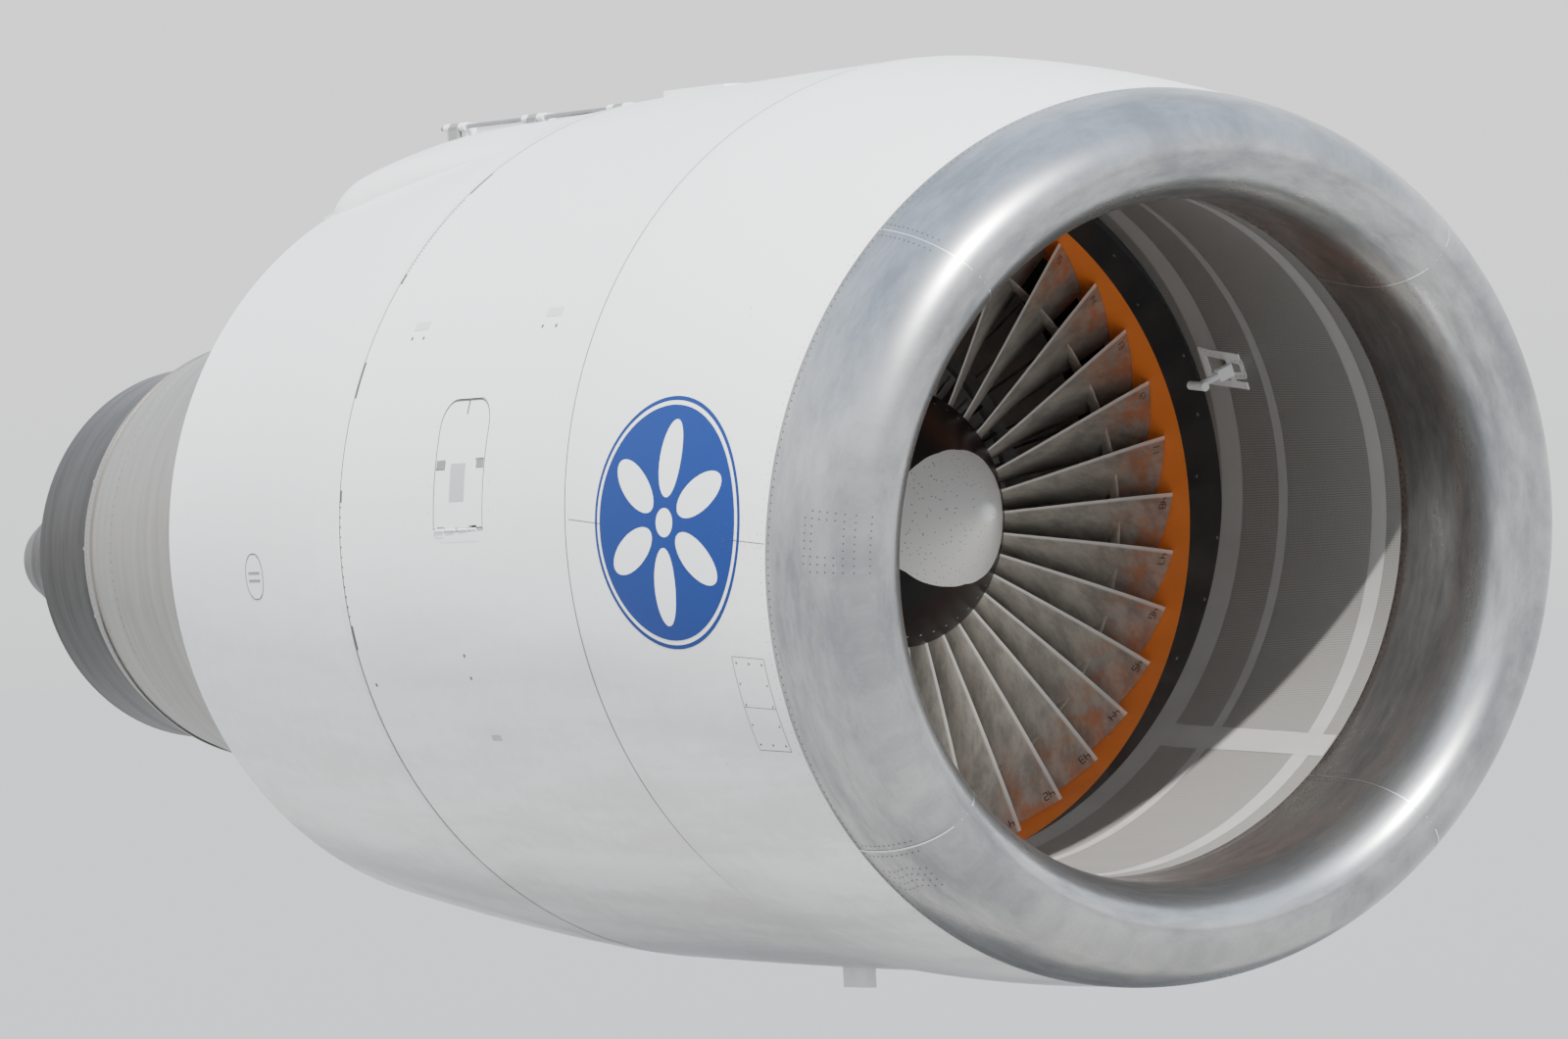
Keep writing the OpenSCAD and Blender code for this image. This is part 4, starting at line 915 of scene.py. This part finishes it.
# %% Wrapping helper
MID_R, EXIT_R = 1.467, 1.295
REV_X, EXIT_X = -1.115, -2.648


def skin_radius(x):
    """Radius of the cowls' outer skin by station."""
    if x > REV_X:
        return SKIN_R - (SKIN_R - MID_R) * (max(0.0, SEAM - x) / (SEAM - REV_X)) ** 1.6
    return MID_R - (MID_R - EXIT_R) * ((REV_X - x) / (REV_X - EXIT_X)) ** 1.25


def on_cowl(x, angle, lift=0.0005):
    return on_skin(station, skin_radius, x, angle, lift)


def wrapped(bm, place, radius_at, s, angle, lift=0.0, inward=False):
    """Lays a flat drawing on a skin: x runs along, y around, z off the surface."""
    around = math.degrees(1 / radius_at(s))
    sense = -1 if inward else 1
    for v in bm.verts:
        p, n = on_skin(place, radius_at, s + v.co.x, angle + sense * v.co.y * around, 0, inward)
        v.co = p + n * (v.co.z + lift)


def flat_sheet(bm, length, back_width, front_width, corner, segments=6):
    """A flat sheet with rounded corners."""
    made = bmesh.ops.create_grid(bm, x_segments=1, y_segments=1, size=0.5)["verts"]
    for v in made:
        v.co = (v.co.x * length, v.co.y * (back_width if v.co.x < 0 else front_width), 0)
    bmesh.ops.bevel(
        bm, geom=made, offset=corner, segments=segments, affect="VERTICES", profile=0.5, material=-1
    )


def sliced(bm, length, width, divisions=8):
    """Cuts a flat sheet both ways, fine enough to bend."""
    for axis, size in (((1, 0, 0), length), ((0, 1, 0), width)):
        for i in range(1, divisions):
            at = Vector(axis) * size * (i / divisions - 0.5)
            geom = bm.verts[:] + bm.edges[:] + bm.faces[:]
            bmesh.ops.bisect_plane(bm, geom=geom, plane_co=at, plane_no=axis)


def outlined(bm, line, longest, cuts):
    """Leaves only a thin rim of a flat sheet, with its long edges cut fine enough to bend."""
    long_edges = [e for e in bm.edges if e.calc_length() > longest]
    bmesh.ops.subdivide_edges(bm, edges=long_edges, cuts=cuts)
    inset = bmesh.ops.inset_region(
        bm, faces=bm.faces[:], thickness=line, use_boundary=True, use_even_offset=True
    )
    rim = set(inset["faces"])
    bmesh.ops.delete(bm, geom=[f for f in bm.faces if f not in rim], context="FACES")


def laid(name, bm, place, radius_at, s, angle, material, body, lift=0.0006, inward=False):
    wrapped(bm, place, radius_at, s, angle, lift, inward)
    obj = new_object(name, bm, material, smooth=False)
    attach(obj, body)
    return obj


# %% [markdown]
# The right side of the barrel carries a seam along its middle, a small screwed panel with
# a cross seam, pairs of plugged holes, and a plain mark in blue.

# %% Marks of the barrel
line_dark = principled("line_dark", (0.09, 0.09, 0.09), 0.6)
mark_blue = principled("mark_blue", (0.003, 0.028, 0.175), 0.45, 0.0, Specular_IOR_Level=0.25)
line_bm = bmesh.new()
patch(line_bm, drooped, barrel_radius, (0.01, JOINT_S - 0.006), (-91.9, -91.8), (30, 1))
barrel_lines = new_object("barrel_split_line", line_bm, line_dark, smooth=False)
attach(barrel_lines, "engine")
dot_places = [(0.75, -121.0), (0.77, -119.8), (0.665, -63.3), (0.675, -62.2), (0.69, -61.4), (0.02, -99.0)]
barrel_dots = [on_barrel(s, a) for s, a in dot_places]
barrel_dots += [on_barrel(JOINT_S - 0.020, 1.5 * a) for a in range(240)]
discs("barrel_rivets", barrel_dots, 0.0019, rivet_dark, "engine")

# %% [markdown]
# The sensor in the inlet stands in a white riveted frame, wide behind and narrow in front.

# %% Sensor frame
BRACKET_S, BRACKET_A = -0.12, 111.5
bracket_bm = bmesh.new()
flat_sheet(bracket_bm, 0.27, 0.125, 0.075, 0.016, 4)
outlined(bracket_bm, 0.026, 0.04, 6)
bmesh.ops.solidify(bracket_bm, geom=bracket_bm.faces[:], thickness=-0.003)
bracket_white = painted("bracket_white", (0.74, 0.74, 0.73), (0.40, 0.38, 0.35), 0.5, 0.4, 0.1)
laid(
    "sensor_frame", bracket_bm, drooped, liner_radius, BRACKET_S, BRACKET_A, bracket_white, "engine",
    0.0008, True,
)
bracket_marks = []
for k in range(9):
    s = -0.235 + k * 0.030
    reach = 2.35 - k * 0.14
    for side in (-1, 1):
        bracket_marks.append(on_skin(drooped, liner_radius, s, BRACKET_A + side * reach, 0.005, True))
discs("sensor_frame_rivets", bracket_marks, 0.0022, rivet_dark, "engine")

# %% [markdown]
# The cowls are bare white skins, but small things catch the eye: plugged hoist points,
# rivets under the door's hinge, dark slots in the rear seam, and an oval vent.

# %% Marks of the fan cowl
plug_places = [(-0.818, -117.1), (-0.736, -117.0), (0.082, -116.9), (0.173, -116.8)]
plug_places += [(-0.361, -75.2), (-0.361, -72.2), (-1.043, -71.4)]
discs("cowl_plugs", [on_cowl(x, a) for x, a in plug_places], 0.0070, line_dark, "fan_cowl_right")
rivet_places = [(-0.386 + 0.0178 * k, -89.7) for k in range(15)] + [(-0.46, -104.6), (-0.07, -104.4)]
rivet_places += [(-0.47, -97.0), (-0.06, -97.0), (-0.47, -93.5), (-0.06, -93.5)]
discs("cowl_rivets", [on_cowl(x, a) for x, a in rivet_places], 0.0020, rivet_dark, "fan_cowl_right")
label_bm = bmesh.new()
flat_sheet(label_bm, 0.060, 0.022, 0.022, 0.003)
sliced(label_bm, 0.060, 0.022)
label_grey = principled("label_grey", (0.45, 0.46, 0.47), 0.5)
laid("cowl_label", label_bm, station, skin_radius, -0.355, -63.9, label_grey, "fan_cowl_right")

# %% Dark edges of the cowls
for side, body in ((1, "fan_cowl_left"), (-1, "fan_cowl_right")):
    edge_bm = bmesh.new()
    for x0, x1 in ((SEAM - 0.0090, SEAM - 0.0035), (REV_X + 0.0035, REV_X + 0.0095)):
        patch(edge_bm, station, skin_radius, (x0, x1), (side * 12, side * 168), (1, 96), 0.0004)
    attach(new_object("edges_of_" + body, edge_bm, line_dark, smooth=False), body)
bright_bm = bmesh.new()
patch(bright_bm, station, skin_radius, (REV_X - 0.014, REV_X - 0.008), (-12, -168), (1, 96), 0.0004)
patch(bright_bm, station, skin_radius, (REV_X - 0.030, REV_X - 0.027), (-12, -168), (1, 96), 0.0004)
trim_white = principled("trim_white", (0.90, 0.90, 0.89), 0.3)
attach(new_object("reverser_edge_trim", bright_bm, trim_white, smooth=False), "reverser_right")


def door_edge(inset):
    """The access door's outline by station and height: straight below, rounded above."""
    x0, x1, z0, z1, c = -0.440 + inset, -0.100 - inset, 0.034 + inset, 0.456 - inset, 0.090 - inset
    turns = [math.radians(9 * k) for k in range(11)]
    points = [(x0, z0 + (z1 - c - z0) * k / 8) for k in range(8)]
    points += [(x0 + c - c * math.cos(t), z1 - c + c * math.sin(t)) for t in turns]
    points += [(x1 - c + c * math.sin(t), z1 - c + c * math.cos(t)) for t in turns]
    points += [(x1, z1 - c - (z1 - c - z0) * k / 8) for k in range(1, 9)]
    return points


outline_bm = bmesh.new()
rings = []
for inset in (0.0, 0.0048):
    around_door = []
    for x, z in door_edge(inset):
        p, n = on_cowl(x, -90 - math.degrees(math.asin(z / skin_radius(x))), 0.0008)
        around_door.append(outline_bm.verts.new(p))
    rings.append(around_door)
for k in range(len(rings[0])):
    j = (k + 1) % len(rings[0])
    face = outline_bm.faces.new((rings[0][k], rings[0][j], rings[1][j], rings[1][k]))
    face.normal_update()
    if face.normal.y > 0:
        face.normal_flip()
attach(new_object("access_door_outline", outline_bm, line_dark, smooth=False), "access_door")

# %% Slots in the rear seam
slot_bm = bmesh.new()
for a0, a1 in ((-146.4, -142.0), (-127.6, -126.0), (-114.4, -109.4), (-97.2, -95.6), (-79.4, -76.2)):
    patch(slot_bm, station, skin_radius, (REV_X + 0.004, REV_X + 0.021), (a0, a1), (1, 8))
slots = new_object("seam_slots", slot_bm, line_dark, smooth=False)
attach(slots, "fan_cowl_right")
seam_marks = [on_cowl(REV_X + 0.018, -128 - 0.55 * k) for k in range(24)]
seam_marks += [on_cowl(REV_X + 0.014, -95 + 1.3 * k) for k in range(13)]
discs("seam_rivets", seam_marks, 0.0036, rivet_dark, "fan_cowl_right")

# %% Oval vent
VENT_X, VENT_A = -1.855, -86.3
vent_bm = bmesh.new()
flat_sheet(vent_bm, 0.155, 0.160, 0.160, 0.070)
outlined(vent_bm, 0.004, 0.05, 8)
laid("vent_outline", vent_bm, station, skin_radius, VENT_X, VENT_A, line_dark, "sliding_cowl_right")
vent_slots = bmesh.new()
for y in (-0.012, 0.014):
    made = bmesh.ops.create_grid(vent_slots, x_segments=4, y_segments=1, size=0.5)["verts"]
    bmesh.ops.scale(vent_slots, verts=made, vec=(0.10, 0.009, 1))
    bmesh.ops.translate(vent_slots, verts=made, vec=(0, y, 0))
laid("vent_slots", vent_slots, station, skin_radius, VENT_X, VENT_A, rivet_grey, "sliding_cowl_right")
vent_marks = []
for k in range(12):
    t = 0.52 * k
    vent_marks.append(on_cowl(VENT_X + 0.078 * math.cos(t), VENT_A + 3.1 * math.sin(t)))
discs("vent_screws", vent_marks, 0.0022, rivet_dark, "sliding_cowl_right")

# %% [markdown]
# Each fan blade has its own plain number by its tip, written by hand in dark ink. A digit
# is a few straight strokes, laid on the blade's front face and turned with the blade.

# %% Numbers on the blades
SEGMENTS = {
    "a": (0, 1, 1, 1), "b": (1, 1, 1, 0.5), "c": (1, 0.5, 1, 0), "d": (0, 0, 1, 0),
    "e": (0, 0, 0, 0.5), "f": (0, 0.5, 0, 1), "g": (0, 0.5, 1, 0.5),
}
DIGITS = ("abcdef", "bc", "abged", "abgcd", "fgbc", "afgcd", "afgedc", "abc", "abcdefg", "abcdfg")
NUMBER_IN, NUMBER_UP = 0.016, 1.128
DIGIT_W, DIGIT_H, STROKE = 0.015, 0.026, 0.0016


def blade_front(chord_in, r):
    """A place a hair off the front face of the first blade."""
    along = (r - HUB_R) / (TIP_R - HUB_R)
    q = chord_in / chord_at(along)
    around = 1 - math.acos(1 - 2 * q) / (2 * math.pi)
    p = blade_place(around, along)
    n = (blade_place(around - 0.002, along) - p).cross(blade_place(around, along + 0.002) - p).normalized()
    return p + (n if n.x > 0 else -n) * 0.0010


ink_bm = bmesh.new()
hub = station(0, 0, 0)
for k in range(BLADES):
    turned = Matrix.Rotation(math.radians(-BLADE_PHASE + k * PITCH), 3, "X")
    for place_in, digit in enumerate(str(k + 11)):
        for key in DIGITS[int(digit)]:
            x0, y0, x1, y1 = SEGMENTS[key]
            x0, x1 = (NUMBER_IN + place_in * 0.022 + v * DIGIT_W for v in (x0, x1))
            y0, y1 = (NUMBER_UP + v * DIGIT_H for v in (y0, y1))
            wide = (0, STROKE) if y0 == y1 else (STROKE, 0)
            corners = [(x0 - wide[0], y0 - wide[1]), (x1 - wide[0], y1 - wide[1])]
            corners += [(x1 + wide[0], y1 + wide[1]), (x0 + wide[0], y0 + wide[1])]
            verts = [ink_bm.verts.new(hub + turned @ (blade_front(x, y) - hub)) for x, y in corners]
            face = ink_bm.faces.new(verts)
            face.normal_update()
            if face.normal.x < 0:
                face.normal_flip()
ink = new_object("blade_numbers", ink_bm, principled("ink_dark", (0.05, 0.04, 0.035), 0.6), smooth=False)
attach(ink, "low_rotor")
print("strokes", len(ink.data.polygons))

# %% Bolts of the dark band


def band_radius(x):
    return 1.192 + 0.016 * x / CASE_X


case_bolts = []
for k in range(36):
    x = (0.052, 0.118, 0.150)[k % 3]
    case_bolts.append(on_skin(station, band_radius, x, 10 * k + 4, 0.0012, True))
discs("band_bolts", case_bolts, 0.0065, rivet_grey, "engine", 6)

# %% [markdown]
# The barrel carries a round blue mark with a plain fan of six white petals. It says nothing:
# it only keeps the colours and the scale that the eye expects there.

# %% Blue mark
MARK_S, MARK_A, MARK_R = 0.580, -93.0, 0.405
PETAL_R = 0.205


def mark_surface(x, y, lift):
    """A place on the barrel by distance along it and round it from the mark's middle."""
    around = math.degrees(1 / barrel_radius(MARK_S))
    return on_barrel(MARK_S + x, MARK_A + y * around, lift)[0]


def mark_shape(bm, x, y, long, wide, turn, lift, hole=0.0, steps=(64, 12)):
    """An ellipse or a ring on the barrel."""
    c, d = math.cos(turn), math.sin(turn)

    def spot(around, along):
        t, m = 2 * math.pi * around, max(hole + (1 - hole) * along, 1e-4)
        u, v = long * m * math.cos(t), wide * m * math.sin(t)
        return mark_surface(x + u * c - v * d, y + u * d + v * c, lift)

    lofted(bm, steps[0], steps[1], spot, closed=False)


def facing_out(bm):
    """Turns every face of a sheet on the right side of the engine outwards."""
    for face in bm.faces:
        face.normal_update()
        if face.normal.y > 0:
            face.normal_flip()


blue_bm = bmesh.new()
mark_shape(blue_bm, 0, 0, MARK_R * 0.93, MARK_R * 0.93, 0, 0.0006, steps=(96, 20))
mark_shape(blue_bm, 0, 0, MARK_R, MARK_R, 0, 0.0006, hole=0.965, steps=(96, 1))
facing_out(blue_bm)
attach(new_object("mark_field", blue_bm, mark_blue), "engine")
petal_bm = bmesh.new()
for k in range(6):
    turn = math.radians(60 * k + 30)
    x, y = PETAL_R * math.cos(turn), PETAL_R * math.sin(turn)
    mark_shape(petal_bm, x, y, 0.125, 0.058, turn, 0.0010, steps=(32, 6))
mark_shape(petal_bm, 0, 0, 0.046, 0.046, 0, 0.0010, steps=(32, 4))
facing_out(petal_bm)
mark_white = principled("mark_white", (0.84, 0.85, 0.86), 0.45)
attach(new_object("mark_petals", petal_bm, mark_white), "engine")

# %% Service panel lines and screws
panel_bm = bmesh.new()
PANEL_S, PANEL_A = (0.895, 1.060), (-77.2, -64.7)
for s in PANEL_S:
    patch(panel_bm, drooped, barrel_radius, (s - 0.0011, s + 0.0011), PANEL_A, (1, 12), 0.0012)
for a in (*PANEL_A, -70.6):
    patch(panel_bm, drooped, barrel_radius, PANEL_S, (a - 0.045, a + 0.045), (6, 1), 0.0012)
facing_out(panel_bm)
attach(new_object("service_panel_lines", panel_bm, line_dark, smooth=False), "engine")
panel_screws = [on_barrel(s, a, 0.0014) for s in (0.912, 0.977, 1.043) for a in (-76.4, -65.5)]
panel_screws += [on_barrel(s, a, 0.0014) for s in (0.908, 1.047) for a in (-73.7, -70.9, -68.2)]
discs("service_panel_screws", panel_screws, 0.0040, rivet_dark, "engine")

# %% Chips and specks
random.seed(7)
chips = [
    on_barrel(random.uniform(0.86, JOINT_S - 0.01), -92 + random.gauss(0, 1.6), 0.0014) for _ in range(70)
]
discs("barrel_chips", chips, 0.0014, line_dark, "engine", 5)

# %% Access door's slot and plate
door_bm = bmesh.new()
for x0, x1, a0, a1 in ((-0.269, -0.261, -107.9, -105.9), (-0.330, -0.230, -99.6, -94.8)):
    patch(door_bm, station, skin_radius, (x0, x1), (a0, a1), (2, 6), 0.0008)
facing_out(door_bm)
door_bm.faces.ensure_lookup_table()
door_marks = new_object("access_door_marks", door_bm, line_dark, smooth=False)
door_marks.data.materials.append(label_grey)
for polygon in door_marks.data.polygons:
    polygon.material_index = 1 if len(door_marks.data.polygons) - polygon.index <= 12 else 0
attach(door_marks, "access_door")
hoist_bm = bmesh.new()
for x in (-0.777, 0.128):
    patch(hoist_bm, station, skin_radius, (x - 0.050, x + 0.050), (-119.4, -118.2), (4, 2), 0.0008)
facing_out(hoist_bm)
pale = principled("label_pale", (0.66, 0.665, 0.67), 0.5)
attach(new_object("cowl_plates", hoist_bm, pale, smooth=False), "fan_cowl_right")

# %% [markdown]
# The bare rear cowl has rows of small rivets at both ends, and studs stand round the front
# of the nozzle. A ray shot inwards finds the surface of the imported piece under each.

# %% Rivets of the rear cowl and studs of the nozzle
from mathutils.bvhtree import BVHTree


def surface_of(name):
    """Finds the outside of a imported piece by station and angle."""
    mesh = nodes[name].data
    tree = BVHTree.FromPolygons([v.co for v in mesh.vertices], [p.vertices for p in mesh.polygons])

    def spot(x, angle, lift=0.0008):
        middle, far = station(x, 0, angle), station(x, 2, angle)
        found, normal, _, _ = tree.ray_cast(far, (middle - far).normalized())
        if found is None:
            return None
        if normal.dot(far - middle) < 0:
            normal = -normal
        return found + normal * lift, normal

    return spot


def discs_on(name, spots, radius, material, body, segments=8):
    return discs(name, [q for q in spots if q], radius, material, body, segments)


core_skin = surface_of("aft_core_cowl")
core_spots = [core_skin(x, 1.6 * k) for x in (-4.325, -4.285) for k in range(225)]
core_spots += [core_skin(-4.02, 2.4 * k) for k in range(150)]
core_spots += [core_skin(x, a) for x in (-4.31, -4.22) for a in (-70, -60, -52, -45, -40, -36, -30)]
discs_on("core_cowl_rivets", core_spots, 0.0036, rivet_dark, "engine", 6)
nozzle_skin = surface_of("core_nozzle")
nozzle_spots = [nozzle_skin(-4.40, 20 * k + 7, 0.006) for k in range(18)]
discs_on("nozzle_studs", nozzle_spots, 0.0075, rivet_grey, "engine", 6)

# %% [markdown]
# Above the rails of each sliding cowl lies a long low white fairing. It starts flush at the
# front, rises while the skin falls away, and ends in a round tail.

# %% Rail fairings
FAIRING_X = (-1.20, -2.645)
FAIRING_TAIL = 0.19


def fairing_place(side):
    def place(around, along):
        x = FAIRING_X[0] + (FAIRING_X[1] - FAIRING_X[0]) * math.sin(math.pi / 2 * along)
        into_tail = max(0.0, (FAIRING_X[1] + FAIRING_TAIL - x) / FAIRING_TAIL)
        tail = max(0.0, 1 - into_tail ** 2) ** 0.5
        grown = min(1.0, (FAIRING_X[0] - x) / 1.15)
        high = 0.078 * grown * grown * (3 - 2 * grown) * tail
        near, far = 0.245 + 0.16 * (1 - tail), 0.620 - 0.05 * (1 - tail)
        share = (1 - math.cos(2 * math.pi * around)) / 2
        y = far + (near - far) * share
        base = math.sqrt(skin_radius(x) ** 2 - y * y)
        edge = (1 - max(0.0, 1 - 5 * share) ** 2) ** 0.5 * min(1.0, (1 - share) * 12)
        z = base + high * edge if around < 0.5 else base - 0.003
        return Vector((FAN_X + x, side * y, AXIS_Z + z))

    return place


for side, body in ((1, "sliding_cowl_left"), (-1, "sliding_cowl_right")):
    fairing_bm = bmesh.new()
    lofted(fairing_bm, 64, 60, fairing_place(side))
    bmesh.ops.recalc_face_normals(fairing_bm, faces=fairing_bm.faces)
    fairing = sharpened(new_object("rail_fairing_" + body[13:], fairing_bm, white_paint), 50)
    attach(fairing, body)
    print(fairing.name, len(fairing.data.polygons))
